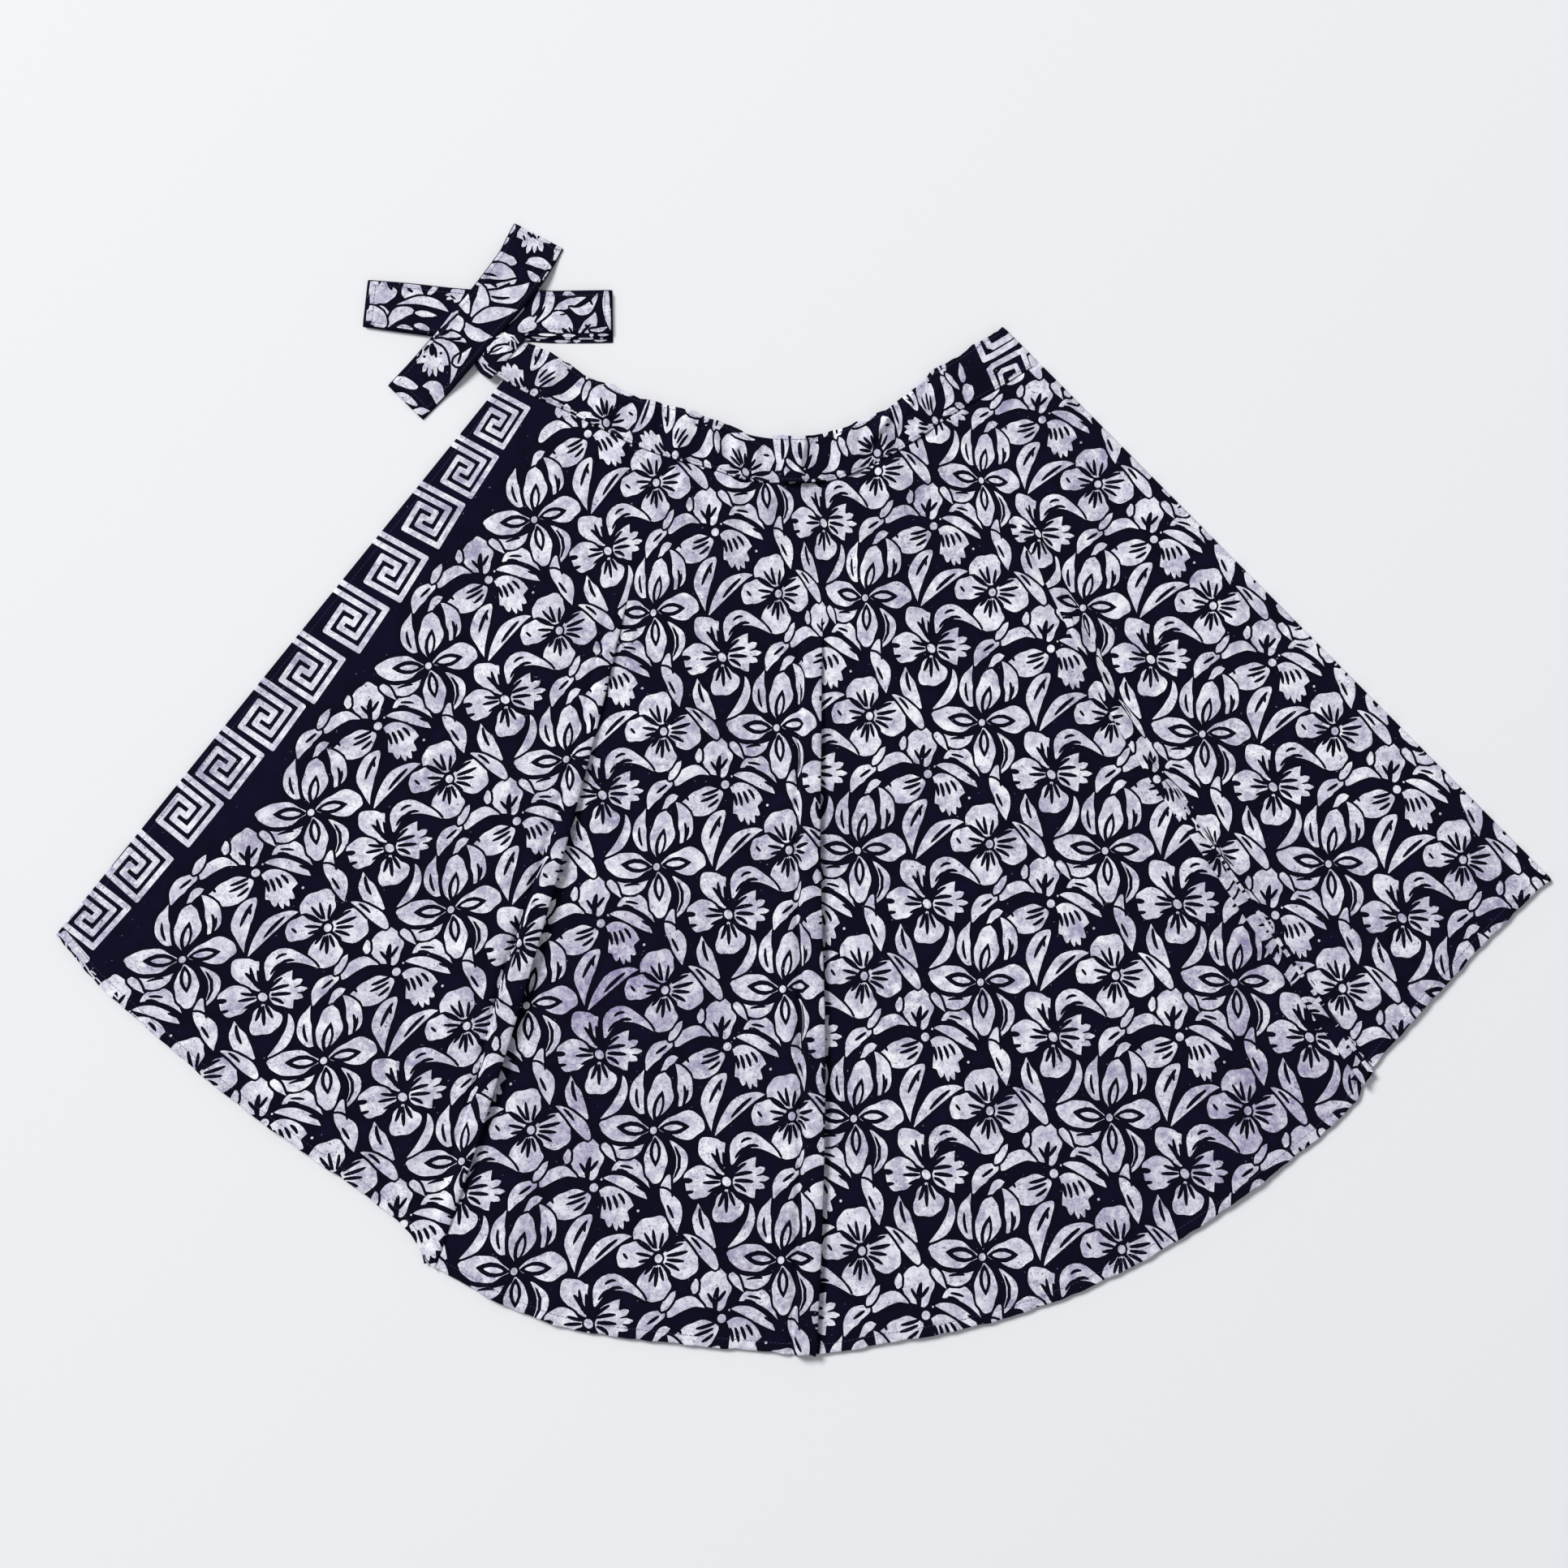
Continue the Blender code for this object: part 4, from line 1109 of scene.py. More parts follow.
def key_shapes():
    """The key border's white lines."""
    shapes = []
    for x, y, down_turn, across_turn, step_along, step_across in KEY_UNITS:
        down_turn, across_turn = math.radians(down_turn), math.radians(across_turn)
        along = np.array([-math.sin(down_turn), -math.cos(down_turn)]) * step_along
        across = np.array([math.cos(across_turn), -math.sin(across_turn)]) * step_across
        start = np.array([x, y]) - (4 + KEY_WIDTH / 2) * across + KEY_WIDTH / 2 * along
        for (p0, q0), (p1, q1) in zip(KEY_LINE, KEY_LINE[1:]):
            width, other = KEY_WIDTH * step_along, KEY_WIDTH * step_across
            if q0 != q1:
                width, other = other, width
            ends = start + p0 * across + q0 * along, start + p1 * across + q1 * along
            shapes.append((True, bar(*ends, width, other / 2)))
    return shapes + strokes(HEM_BITS)


def make_front(materials):
    """The front's four cloths, each lying over the next as its fold does."""
    made = []
    for part, name in enumerate(FRONT_NAMES):
        outline, rims = part_outline(part)

        def keep(middle, outline=outline, part=part):
            near = near_box(middle, outline, FLOWER_REACH)
            return near & ((part > 0) | (border_across(middle) > FLOWERS_CLEAR))

        def lay(i, j, part=part):
            return front_places(part, i, j)

        shapes = printed_shapes(lay, 5, keep)
        if part == 0:
            shapes = [s for s in shapes if border_across(s[1]).min() > BORDER_CLEAR] + key_shapes()
        cloth = (outline, rims, shapes, front_height(part), FRONT_GRID, front_detail(part))
        made.append(joined_piece(name, [cloth], materials))
    return made


# ---- the waistband ----

# Where the print lies along the waistband: angle and length along the cloth, for the part left
# of the fold and the part right of it
BAND_LAY = (
    ((-60, -145.0), (-34.2, 0.0), (-22, 63.2), (-10.7, 131.9), (0.1, 195.1), (12, 264.0)),
    ((-4, 191.0), (8.7, 263.8), (19.8, 327.0), (29.1, 395.7), (48, 520.0)),
)
BAND_TURN = math.radians(134.8)  # the waistband's length in the print's own directions
BAND_ROW = -3.0  # how far the row of flowers lies above the seam
BAND_PRINT_END = 35.5
BAND_GRID = 2.6
BAND_ROLL_EDGE = 0.9
BAND_ROLL = 2.1
BAND_TUCK = 5.0
BAND_STEPS = 16
BAND_FOLD_HEIGHT = 6.3
BAND_RAMP = 12
FOLD_TUCK = 3.0  # flat stretch of the top layer beyond its overhang
# How far the left length's top edge drops beside the fold, and over how many degrees
BAND_STEP = 6.0
BAND_STEP_REACH = 7.0
# How uneven the top edge is: beats to a degree and size
BAND_RIPPLES = ((0.9, 0.5), (1.7, 0.35), (3.1, 0.25))
BAND_UNEVEN = 0.8
# Swells and creases of the waistband, as for the front
CRUMPLES = (
    (-33, 0.3, 12, 22, 2), (-24, 0.8, 9, 20, 2.8), (-17, 0.2, 8, 16, 3), (-11, 0.6, 8, 24, 3.6),
    (-5.5, 0.3, 6, 26, 4.2), (-1.5, 0.9, 6, 18, 3.4), (9, 0.8, 7, 22, 3.6), (14.5, 0.5, 6, 26, 4.6),
    (20, 0.2, 7, 24, 4), (25, 0.7, 8, 20, 3), (32, 0.3, 10, 20, 2.2), (39, 0.6, 12, 24, 1.6),
)
BAND_CREASES = (
    (71.1, 286.5, 58.5, 267.8, 38.7, 242.7, 3.4, 4.5, 1),
    (83.7, 292.8, 76.2, 280.2, 68.7, 265.2, 3, 3.3, 1),
    (1.2, 265.2, -1.5, 247.8, -6.3, 227.7, 2.5, 3, -1),
    (26.1, 265.2, 27.3, 245.4, 33.9, 230.4, 2.5, 2.7, 1),
    (-45.9, 265.2, -50.7, 250.2, -58.5, 232.8, 2.5, 3.6, -1),
    (-73.5, 285, -68.1, 267.6, -73.5, 250.2, 3.4, 3, 1),
    (-108.3, 282.6, -113.1, 267.6, -110.7, 252.6, 3.4, 2.4, -1),
    (-153.3, 300, -148.5, 280.2, -140.7, 265.2, 3.4, 2.2, 1),
    (-183.3, 318, -185.7, 303, -193.5, 290.4, 3.4, 2.1, -1),
    (-36.3, 271.2, -33.9, 250.2, -38.7, 229.2, 2, 2.7, 1),
    (101.7, 301.2, 95.7, 289.2, 82.5, 274.2, 3.4, 2.4, 1),
    (-135.3, 256.2, -114.3, 249.6, -90.3, 238.2, 2.2, 2.4, 1),
    (5.7, 229.2, 23.7, 224.4, 41.7, 229.2, 2.2, 2.4, 1),
)
# The key pattern at the waistband's right end: width and places of its white lines
BAND_KEY = (
    (1.7, ((139.4, 336.6), (143.7, 338.9), (149.3, 341.2))),
    (4.5, ((133.2, 332.5), (136.7, 326.9), (139.4, 326.3), (157, 336.6))),
    (4.3, ((127.8, 328.6), (133, 316.6), (139.4, 319.6), (159.1, 331.6), (162.5, 329.9),
           (167.6, 319), (169.2, 313.5))),
    (3.8, ((142.4, 296.1), (136.8, 308.9), (139.4, 311.9), (156.6, 321.3), (160.8, 323.1),
           (165.5, 310.6))),
    (3.3, ((146.7, 298.2), (144.6, 305.9), (146.7, 308.5), (156.1, 312.3), (158.7, 306.8),
           (152.7, 302.1))),
)
# Seeds beside it, and the white piping that shows at the seam
BAND_SEEDS = (
    (114.6, 314.5, 116.3, 307.2, 117.3, 299.8, 4.8, 0.68, 1, 0.4),
    (120.7, 298.9, 121, 292.2, 121.2, 284.9, 8.4, 0.45, 0.45, 0.5),
)
SEAM_PIPING = (
    (1.1, ((-238.6, 316.4), (-227.2, 305.8), (-213, 295.4), (-197, 288.6))),
    (1, ((-192.8, 288.6), (-179, 283.4), (-168, 277.4))),
)
# Petals and their veins on the crest of the fold
BAND_CREST_PETALS = (
    (-18.3, 233.4, -17.7, 249, -15.9, 266, 11.4, 0.62, 0.7, 0.35),
    (-0.6, 236.4, -3.3, 251, -3.9, 266, 12, 0.6, 0.7, 0.35),
    (-14.1, 230.4, -10.5, 236.4, -3.3, 231, 4.2, 0.4, 0.7, 0.7),
    (-12.6, 243, -8.1, 237.6, 0.9, 231.6, 4, 0.4, 0.6, 0.8),
)
BAND_CREST_VEINS = ((-16.5, 258.6, -15.9, 241.8, 2.6, 0.6), (-3.0, 255.6, -1.8, 241.8, 2.8, -0.6))
# The part of the right length where those petals lie: lowest and highest angle
BAND_CREST_ANGLES = (-3.0, 5.6)


def band_places(side):
    """Places on the plan of the print's counts on one side of the waistband's fold."""
    angles, lengths = np.array(BAND_LAY[side]).T

    def lay(i, j):
        u, v = i * REPEAT, -j * REPEAT
        s = u * math.cos(BAND_TURN) + v * math.sin(BAND_TURN)
        t = -u * math.sin(BAND_TURN) + v * math.cos(BAND_TURN)
        angle = np.interp(s, lengths, angles)
        return fan_place(angle, seam_radius(angle) + BAND_ROW - t)

    return lay


def band_height(side):
    def height(places):
        angle, radius = fan_measure(places)
        top = band_top_radius(angle)
        down = (radius - top) / (seam_radius(angle) - GAP / 2 - top)
        edge = np.minimum(angle - BAND_LEFT_ANGLE, RIGHT_ANGLE - angle)
        lift = swelling(CRUMPLES, angle, down, radius, BAND_WIDTH) + creased(BAND_CREASES, places)
        lift *= smoothstep(edge / EDGE_CALM)
        rise = 0
        if side:
            across = np.radians(curve_through(BAND_FOLD, down) - angle) * radius
            reach = across + curve_through(BAND_FOLD, down, 2) + FOLD_TUCK + BAND_RAMP
            rise = BAND_FOLD_HEIGHT * smoothstep(reach / BAND_RAMP)
        return BAND_FRONT_HEIGHT + BAND_CLOTH / 2 + lift + rise

    return height


def band_edge(side, angle):
    """The radius of the top edge of one length of the waistband."""
    step = 0 if side else BAND_STEP
    return band_top_radius(angle) + step * smoothstep((angle - BAND_FOLD[0][1]) / BAND_STEP_REACH + 1)


def band_outline(side):
    """One length of the waistband, anticlockwise, with its rims."""
    down = np.linspace(0, 1, BAND_STEPS)
    crest, overhang = curve_through(BAND_FOLD, down), curve_through(BAND_FOLD, down, 2)

    def line(angle, share, shift=None):
        uneven = (ripple(BAND_RIPPLES, angle) + BAND_UNEVEN) * (1 - share) ** 2
        top = band_edge(side, angle) + BAND_ROLL_EDGE + uneven
        radii = top + (seam_radius(angle) - GAP / 2 - BAND_ROLL_EDGE - top) * share
        return fan_place(angle, radii) if shift is None else fan_line(angle, radii, shift)

    def level(*rim):
        return np.tile(rim, (BAND_STEPS, 1))

    if side:
        end_roll = (BAND_FRONT_HEIGHT + BAND_CLOTH / 2) / 2
        left = line(crest, down, BAND_ROLL)
        right = line(np.full(BAND_STEPS, RIGHT_ANGLE), down, -end_roll)
        left_rims = pair(np.full(BAND_STEPS, BAND_ROLL), overhang - BAND_ROLL)
        right_rims = level(end_roll, SEAM_TUCK)
    else:
        left = line(np.full(BAND_STEPS, BAND_LEFT_ANGLE), down, BAND_ROLL_EDGE)
        right = line(crest, down, overhang + FOLD_TUCK / 2)
        left_rims, right_rims = level(BAND_ROLL_EDGE, BAND_TUCK), level(0.0, 0.0)
    angles = angle_steps(left[0], right[0], TOP_PLACES)
    long_rims = np.tile([BAND_ROLL_EDGE, BAND_TUCK], (len(angles), 1))
    outline = np.vstack([left, line(angles, 1.0), right[::-1], line(angles[::-1], 0.0)])
    return outline, np.vstack([left_rims, long_rims, right_rims[::-1], long_rims])


def crest_print(shapes):
    """The print right of the fold, with the petals on its crest and the key pattern's end."""
    low, high = BAND_CREST_ANGLES
    clear = []
    for white, shape in shapes:
        angle = fan_measure(shape)[0]
        beside_crest = angle.mean() < low or angle.mean() > high
        if beside_crest and (angle.max() < BAND_PRINT_END or not white):
            clear.append((white, shape))
    placed = placed_print(BAND_SEEDS + BAND_CREST_PETALS, BAND_CREST_VEINS, 2)
    return clear + placed + strokes(BAND_KEY)


def make_band(materials):
    """The waistband's two lengths, the right one folded over the left."""
    parts = []
    for side in range(2):
        outline, rims = band_outline(side)

        def keep(middle, outline=outline):
            return near_box(middle, outline, FLOWER_REACH)

        shapes = printed_shapes(band_places(side), 6, keep)
        shapes = crest_print(shapes) if side else shapes + strokes(SEAM_PIPING)
        parts.append((outline, rims, shapes, band_height(side), BAND_GRID))
    return joined_piece("waistband_cloth", parts, materials)


# ---- hidden cloths ----

HIDDEN_INSET = 2.5
HIDDEN_TUCK = 6.0
HIDDEN_GRID = 14.0
HIDDEN_DOWN = 60  # places down a side
HIDDEN_ACROSS = 160


def fan_sheet(name, start, end, radii, height, roll, materials):
    """A plain hidden cloth between two angles."""
    down = np.linspace(0, 1, HIDDEN_DOWN)
    sides = []
    for angle, inward in ((start, roll), (end, -roll)):
        sides.append(fan_line(angle, radii(np.full(HIDDEN_DOWN, angle), down), inward))
    angles = np.linspace(start, end, HIDDEN_ACROSS)[1:-1]
    hem = fan_place(angles, radii(angles, 1.0) - roll)
    top = fan_place(angles[::-1], radii(angles[::-1], 0.0) + roll)
    outline = np.vstack([sides[0], hem, sides[1][::-1], top])
    rims = np.tile([roll, HIDDEN_TUCK], (len(outline), 1))
    return joined_piece(name, [(outline, rims, [], height, HIDDEN_GRID)], materials)


def panel_radii(angle, down):
    return down_radii(angle, down, HIDDEN_INSET)


def band_radii(angle, down):
    top = band_top_radius(angle) + HIDDEN_INSET
    return top + (seam_radius(angle) - GAP / 2 - top) * down


def rising_to(hem_height, band_height):
    """The upper face of a panel that climbs to its waistband's height."""

    def height(places):
        return hem_height + CLOTH / 2 + waist_rise(fan_down(places)[2], hem_height, band_height)

    return height


def level_at(height):
    return lambda places: np.full(len(places), height)


# ---- the tie ----

# Rows of x, y, width and height of the underside along each length's middle line
TIE_FLAT = (
    (-324.3, 358.83, 35, 0), (-292.1, 355.23, 37, 0), (-264.1, 352.13, 37, 0),
    (-240.1, 351.23, 35.5, 0), (-214.1, 350.63, 38, 0), (-189.1, 348.93, 38.6, 0),
    (-162.1, 348.93, 39, 0), (-141.3, 349.23, 39, 0),
)
TIE_CROSS = (
    (-195.9, 408.63, 41, 0), (-201.1, 398.73, 41, 0.8), (-207.1, 387.23, 40, 3.8),
    (-214.1, 377.23, 39.5, 5.3), (-223.1, 365.73, 39, 5.3), (-234.1, 352.73, 38, 5.3),
    (-245.1, 340.23, 37.5, 5.3), (-255.1, 327.73, 37, 5.3), (-266.1, 315.23, 37, 3.6),
    (-279.1, 301.23, 37, 0.4), (-294.6, 285.33, 36.5, 0),
)
LAYER_INSETS = (0.0, 0.8, 0.25, 1.1)
# How far each of the flat length's layers steps back from its lower edge past the crossing,
# and the shares of the length at which and over which it does so
LAYER_STEPS = (0.0, 1.7, 3.6, 5.8)
STEP_START = 0.56
STEP_REACH = 0.1
# How far each layer stops short of the length's two ends
LAYER_ENDS = ((0.0, 0.0), (1.5, 0.8), (0.8, 2.0), (2.4, 1.2))
TIE_STEPS = 80
HEADING_STEP = 0.02  # of a row, either way, for the heading of the middle line
TIE_GRID = 3.0
# White bits on the steps: shares of the length where they start and end, and width
STEP_BITS = (
    ((0.6, 0.65, 2), (0.67, 0.69, 2.8), (0.74, 0.8, 2.3), (0.81, 0.84, 3), (0.9, 0.97, 2.2)),
    ((0.57, 0.62, 2.6), (0.65, 0.72, 2), (0.78, 0.8, 3.2), (0.83, 0.9, 2.4), (0.93, 0.95, 3)),
    ((0.62, 0.64, 3), (0.68, 0.75, 2.3), (0.77, 0.82, 3), (0.88, 0.9, 3.4), (0.92, 0.98, 2.2)),
)
STEP_BIT_INSETS = (0.4, 0.9, 0.2)
# The print of each length: petals and veins
TIE_CROSS_PETALS = (
    (-196.1, 419.7, -199.1, 409.2, -201.6, 395.4, 25.2, 0.62, 0.6, 0.3, 5, 6),
    (-179.6, 403.2, -181.1, 397.2, -185.1, 390, 6.3, 0.4, 0.5, 0.8),
    (-213, 416.7, -217.1, 412.2, -221.6, 407.7, 4.2, 0.5, 0.5, 0.8),
    (-217.8, 406.9, -220.8, 403.9, -224.6, 400.2, 3.3, 0.5, 0.5, 0.8),
    (-230.6, 394.9, -220.8, 390.4, -212.1, 387.9, 9.9, 0.45, 0.6, 0.55),
    (-205.5, 387.9, -196.1, 388.5, -185.6, 382.2, 7.8, 0.5, 0.8, 0.5),
    (-203.6, 382.2, -199.5, 377.7, -193.8, 374.4, 5.4, 0.5, 0.8, 0.6),
    (-187.8, 382.2, -190.1, 376.2, -192.6, 370.2, 4.5, 0.5, 0.6, 0.6),
    (-241.1, 377.7, -227.6, 381.4, -212.1, 377.4, 12, 0.5, 0.6, 0.6),
    (-238.8, 372.4, -226.8, 367.9, -211.8, 375.4, 9.3, 0.5, 0.7, 0.7),
    (-235.5, 366.4, -217.8, 363.4, -203.1, 372.9, 12, 0.55, 0.7, 0.8),
    (-241.5, 373.2, -237, 361.2, -245.4, 348, 9.9, 0.62, 0.7, 0.5),
    (-247.8, 367.9, -250.5, 361.2, -247.8, 350.7, 8.4, 0.6, 0.7, 0.5),
    (-244.8, 344.2, -230.6, 349.5, -211.5, 353.1, 9.9, 0.45, 0.9, 0.75),
    (-249.9, 343.9, -243, 335.7, -229.5, 333, 9.3, 0.5, 0.7, 0.8),
    (-273.6, 331.2, -264.3, 341.7, -255, 352.2, 7.5, 0.6, 0.9, 0.7),
    (-271.8, 331.2, -258.3, 338.7, -254.6, 349.2, 9.3, 0.6, 0.9, 0.6),
    (-271.5, 330.4, -260.6, 333.9, -249, 328.9, 6.6, 0.55, 0.9, 0.8),
    (-273.6, 331.2, -273.6, 317.7, -274.1, 304.5, 25.5, 0.6, 0.62, 0.3, 5, 6),
    (-272.6, 330.9, -258.3, 322.2, -261.3, 298.5, 7.5, 0.5, 0.8, 0.9),
    (-258.3, 313.2, -253.1, 316.9, -245.1, 325.2, 6.9, 0.4, 0.6, 0.9),
    (-305.6, 303.9, -295.1, 300, -285, 296.4, 7.5, 0.5, 0.6, 0.6),
    (-281.1, 297, -271.8, 295.2, -269.1, 280.9, 10.5, 0.5, 0.8, 0.6),
    (-301.8, 292.2, -293.6, 288.4, -285.6, 282.9, 5.7, 0.5, 0.6, 0.6),
    (-289.1, 279.4, -281.6, 278.7, -273.6, 275.4, 5.4, 0.5, 0.7, 0.6),
    (-291.3, 316.2, -285.3, 322.2, -283.8, 328.2, 3, 0.5, 0.7, 0.8),
    (-283.5, 271.9, -278.6, 274.2, -274.5, 277.9, 3, 0.5, 0.5, 0.6),
)
TIE_CROSS_VEINS = (
    (-204.3, 411.4, -200.6, 406.9, 2.1, 0.3), (-200.6, 409.9, -197.6, 406.2, 1.8, 0),
    (-205.8, 404.7, -207.3, 409.2, 1.5, 0), (-194.1, 410.7, -196.8, 406.2, 1.5, 0),
    (-234.3, 375.4, -226.1, 369.4, 2.5, 0.6), (-225.3, 369.4, -216.3, 373.2, 2.2, -0.9),
    (-236.1, 379.5, -226.1, 377.7, 1.9, 0.6), (-231.3, 363.4, -216.3, 362.4, 2.1, -1.3),
    (-240.3, 371.4, -244.5, 361.2, 3.3, 0), (-269.6, 336.4, -261.3, 343.9, 2.7, -0.6),
    (-268.8, 334.2, -259.1, 339.4, 2.1, -0.6), (-265.1, 331.2, -252.3, 331.2, 2.1, 0.4),
    (-258.3, 331.2, -250.1, 333.4, 1.5, 0), (-274.1, 328.9, -274.5, 319.2, 3.9, 0),
    (-276.3, 327.4, -280.5, 322.9, 2.1, 0), (-272.6, 326.7, -271.1, 317.7, 2.4, 0),
    (-280.5, 319.9, -279.6, 318, 2.1, 0), (-268.1, 322.2, -267.3, 320.4, 2.1, 0),
    (-252.3, 322.2, -255.3, 313.2, 1.8, 0),
)
TIE_FLAT_PETALS = (
    (-311.6, 376.9, -312.3, 367.2, -311.1, 357.9, 22.2, 0.6, 0.5, 0.35),
    (-295.1, 373.9, -289.8, 367.9, -284.6, 360, 14.7, 0.6, 0.5, 0.4),
    (-270, 370.5, -274.1, 367.9, -277.8, 363.4, 3.9, 0.5, 0.5, 0.6),
    (-251.1, 367.9, -256.8, 364.2, -264.6, 362.7, 9.9, 0.6, 0.6, 0.3, 3, 3.9),
    (-315, 355.6, -310.8, 353.4, -306.3, 350.1, 5.1, 0.5, 0.5, 0.5),
    (-300.6, 357.3, -279.3, 360, -262.2, 351.9, 6.6, 0.62, 0.9, 0.9),
    (-306.6, 340.9, -298.8, 351, -287.1, 351.4, 9, 0.5, 0.7, 0.7),
    (-287.1, 351.4, -279.3, 350.4, -270.9, 349.2, 4.5, 0.5, 0.5, 0.9),
    (-324.6, 345.4, -318.3, 349.5, -308.7, 340.2, 13.8, 0.5, 0.6, 0.5),
    (-300.3, 340.5, -294.3, 341.1, -288.6, 338.7, 3, 0.5, 0.6, 0.6),
    (-287.6, 342.4, -281.6, 340.9, -276.3, 338.7, 4.5, 0.5, 0.4, 0.5),
    (-323.7, 367.9, -324, 361.2, -323.4, 354.3, 3.9, 0.5, 0.5, 0.5),
    (-322.8, 376.5, -321.3, 377.4, -315.3, 376.5, 1.8, 0.5, 0.5, 0.5),
    (-184.5, 353.4, -174.3, 357.9, -160.8, 363, 6.6, 0.5, 0.8, 0.9),
    (-172.8, 355.5, -161.6, 353.4, -152.1, 365.7, 6.6, 0.5, 0.8, 0.7),
    (-178.1, 364.5, -173.6, 365.4, -169.1, 364.2, 3.3, 0.5, 0.5, 0.7),
    (-145.5, 368.4, -145.8, 355.2, -142.8, 338.7, 5.4, 0.4, 0.4, 0.7),
    (-171.3, 333.4, -180.3, 343.2, -193.1, 343.9, 15.9, 0.55, 0.7, 0.4),
    (-168, 333.9, -158.6, 340.9, -154.5, 351.4, 9.9, 0.5, 0.8, 0.8),
    (-157.8, 338.7, -151.1, 338.7, -145.1, 340.9, 3, 0.5, 0.6, 0.8),
    (-211.1, 337.5, -202.8, 343.2, -195, 348.4, 9.9, 0.5, 0.7, 0.6),
    (-195.3, 367.2, -197.6, 358.2, -200.6, 349.2, 4.5, 0.5, 0.7, 0.7),
    (-190.1, 368.4, -187.8, 358.2, -197.6, 343.9, 7.5, 0.42, 0.7, 0.8),
    (-206.1, 355.5, -214.5, 349.2, -225.6, 336.9, 5.7, 0.5, 0.6, 0.7),
    (-200.6, 371.4, -206.1, 364.2, -212.7, 355.5, 3.6, 0.5, 0.4, 0.5),
)
TIE_FLAT_VEINS = (
    (-307.8, 375.4, -304.1, 367.9, 3, 0.4), (-311.6, 376.2, -313.8, 372.4, 1.8, 0),
    (-302.6, 375.4, -302.1, 370.2, 1.5, 0), (-292.8, 369.4, -288.3, 366.4, 2.1, 0),
    (-268.8, 352.2, -282.3, 356.7, 1.2, 0), (-163.8, 358.9, -156.3, 361.2, 2.7, 0.4),
    (-159.3, 362.7, -155.6, 356.7, 1.8, 0), (-170.6, 333.4, -178.8, 340.2, 3, 0.3),
    (-169.8, 334.2, -173.6, 340.9, 1.8, 0), (-171.3, 332.7, -181.8, 334.9, 1.8, 0),
    (-180.3, 349.9, -175.1, 350.4, 1.2, 0), (-164.6, 335.7, -157.1, 343.2, 2.1, 0),
    (-161.6, 342.4, -159.3, 340.9, 1.8, 0), (-190.8, 356.7, -196.8, 346.2, 1.5, 0.4),
    (-261.3, 364.2, -256.8, 361.2, 1.5, 0),
)


def route_places(table, share):
    """Places along a tie's middle line, as x, y and heading, its width and its underside."""
    rows = np.array(table, float)
    counted = np.column_stack([np.arange(len(rows)), rows])
    at = np.asarray(share) * (len(rows) - 1)
    x, y, width, low = (curve_through(counted, at, c) for c in (1, 2, 3, 4))
    ahead, behind = at + HEADING_STEP, at - HEADING_STEP
    dx, dy = (curve_through(counted, ahead, c) - curve_through(counted, behind, c) for c in (1, 2))
    size = np.hypot(dx, dy)
    return (x, y, dx / size, dy / size), width, np.maximum(low, 0)


def past_crossing(share):
    return smoothstep((share - STEP_START) / STEP_REACH)


def tie_height(table, layer):
    """The height of a layer's upper face."""
    (x, y, _, _), _, low = route_places(table, np.linspace(0, 1, TIE_STEPS))

    def height(places):
        k = np.hypot(*(places[:, None] - pair(x, y)[None]).transpose(2, 0, 1)).argmin(1)
        near = sum(low[np.clip(k + d, 0, len(low) - 1)] for d in (-2, -1, 0, 1, 2)) / 5
        return near + (layer + 1) * TIE_LAYER

    return height


def tie_layer(table, layer, ends, shapes, step_back=0.0):
    """One layer of the folded tie, as a closed cloth."""
    roll = TIE_LAYER / 2
    share = np.linspace(0, 1, TIE_STEPS)
    line, width, _ = route_places(table, share)
    x, y, dx, dy = line
    for k, short in ((0, roll + ends[0]), (-1, -roll - ends[1])):
        x[k] += dx[k] * short
        y[k] += dy[k] * short
    half = width / 2 - LAYER_INSETS[layer] - roll
    left = beside(line, half)
    right = beside(line, step_back * past_crossing(share) - half)
    steps = np.linspace(0, 1, 10)[1:-1, None]
    start_cap = left[0] + (right[0] - left[0]) * steps
    end_cap = right[-1] + (left[-1] - right[-1]) * steps
    outline = np.vstack([left, end_cap[::-1], right[::-1], start_cap[::-1]])[::-1]
    rims = np.tile([roll, 0.0], (len(outline), 1))
    return outline, rims, shapes, tie_height(table, layer), TIE_GRID, Detail(), True


def step_bits(layer):
    """White bits of the print along a layer's stepped edge."""
    shapes = []
    for k, (start, end, width) in enumerate(STEP_BITS[layer]):
        line, wide, _ = route_places(TIE_FLAT, np.linspace(start, end, 3))
        side = wide / 2 - LAYER_STEPS[layer] - width / 2 - STEP_BIT_INSETS[k % 3]
        row = (*beside(line, -side).ravel(), width, 0.4, 0.7, 0.8)
        shapes.append((True, petal_outline(row, k + layer, 6)))
    return shapes


def make_tie(materials):
    """The tie's two folded lengths, each with its print on the top layer."""
    flat, cross = [], []
    for layer in range(4):
        shapes = placed_print(TIE_FLAT_PETALS, TIE_FLAT_VEINS, 5) if layer == 3 else step_bits(layer)
        flat.append(tie_layer(TIE_FLAT, layer, LAYER_ENDS[layer], shapes, LAYER_STEPS[layer]))
    for layer in range(2):
        shapes = placed_print(TIE_CROSS_PETALS, TIE_CROSS_VEINS, 3) if layer == 1 else []
        cross.append(tie_layer(TIE_CROSS, layer, (0.0, 0.0), shapes))
    flat = joined_piece("tie_flat_cloth", flat, materials)
    return flat, joined_piece("tie_cross_cloth", cross, materials)


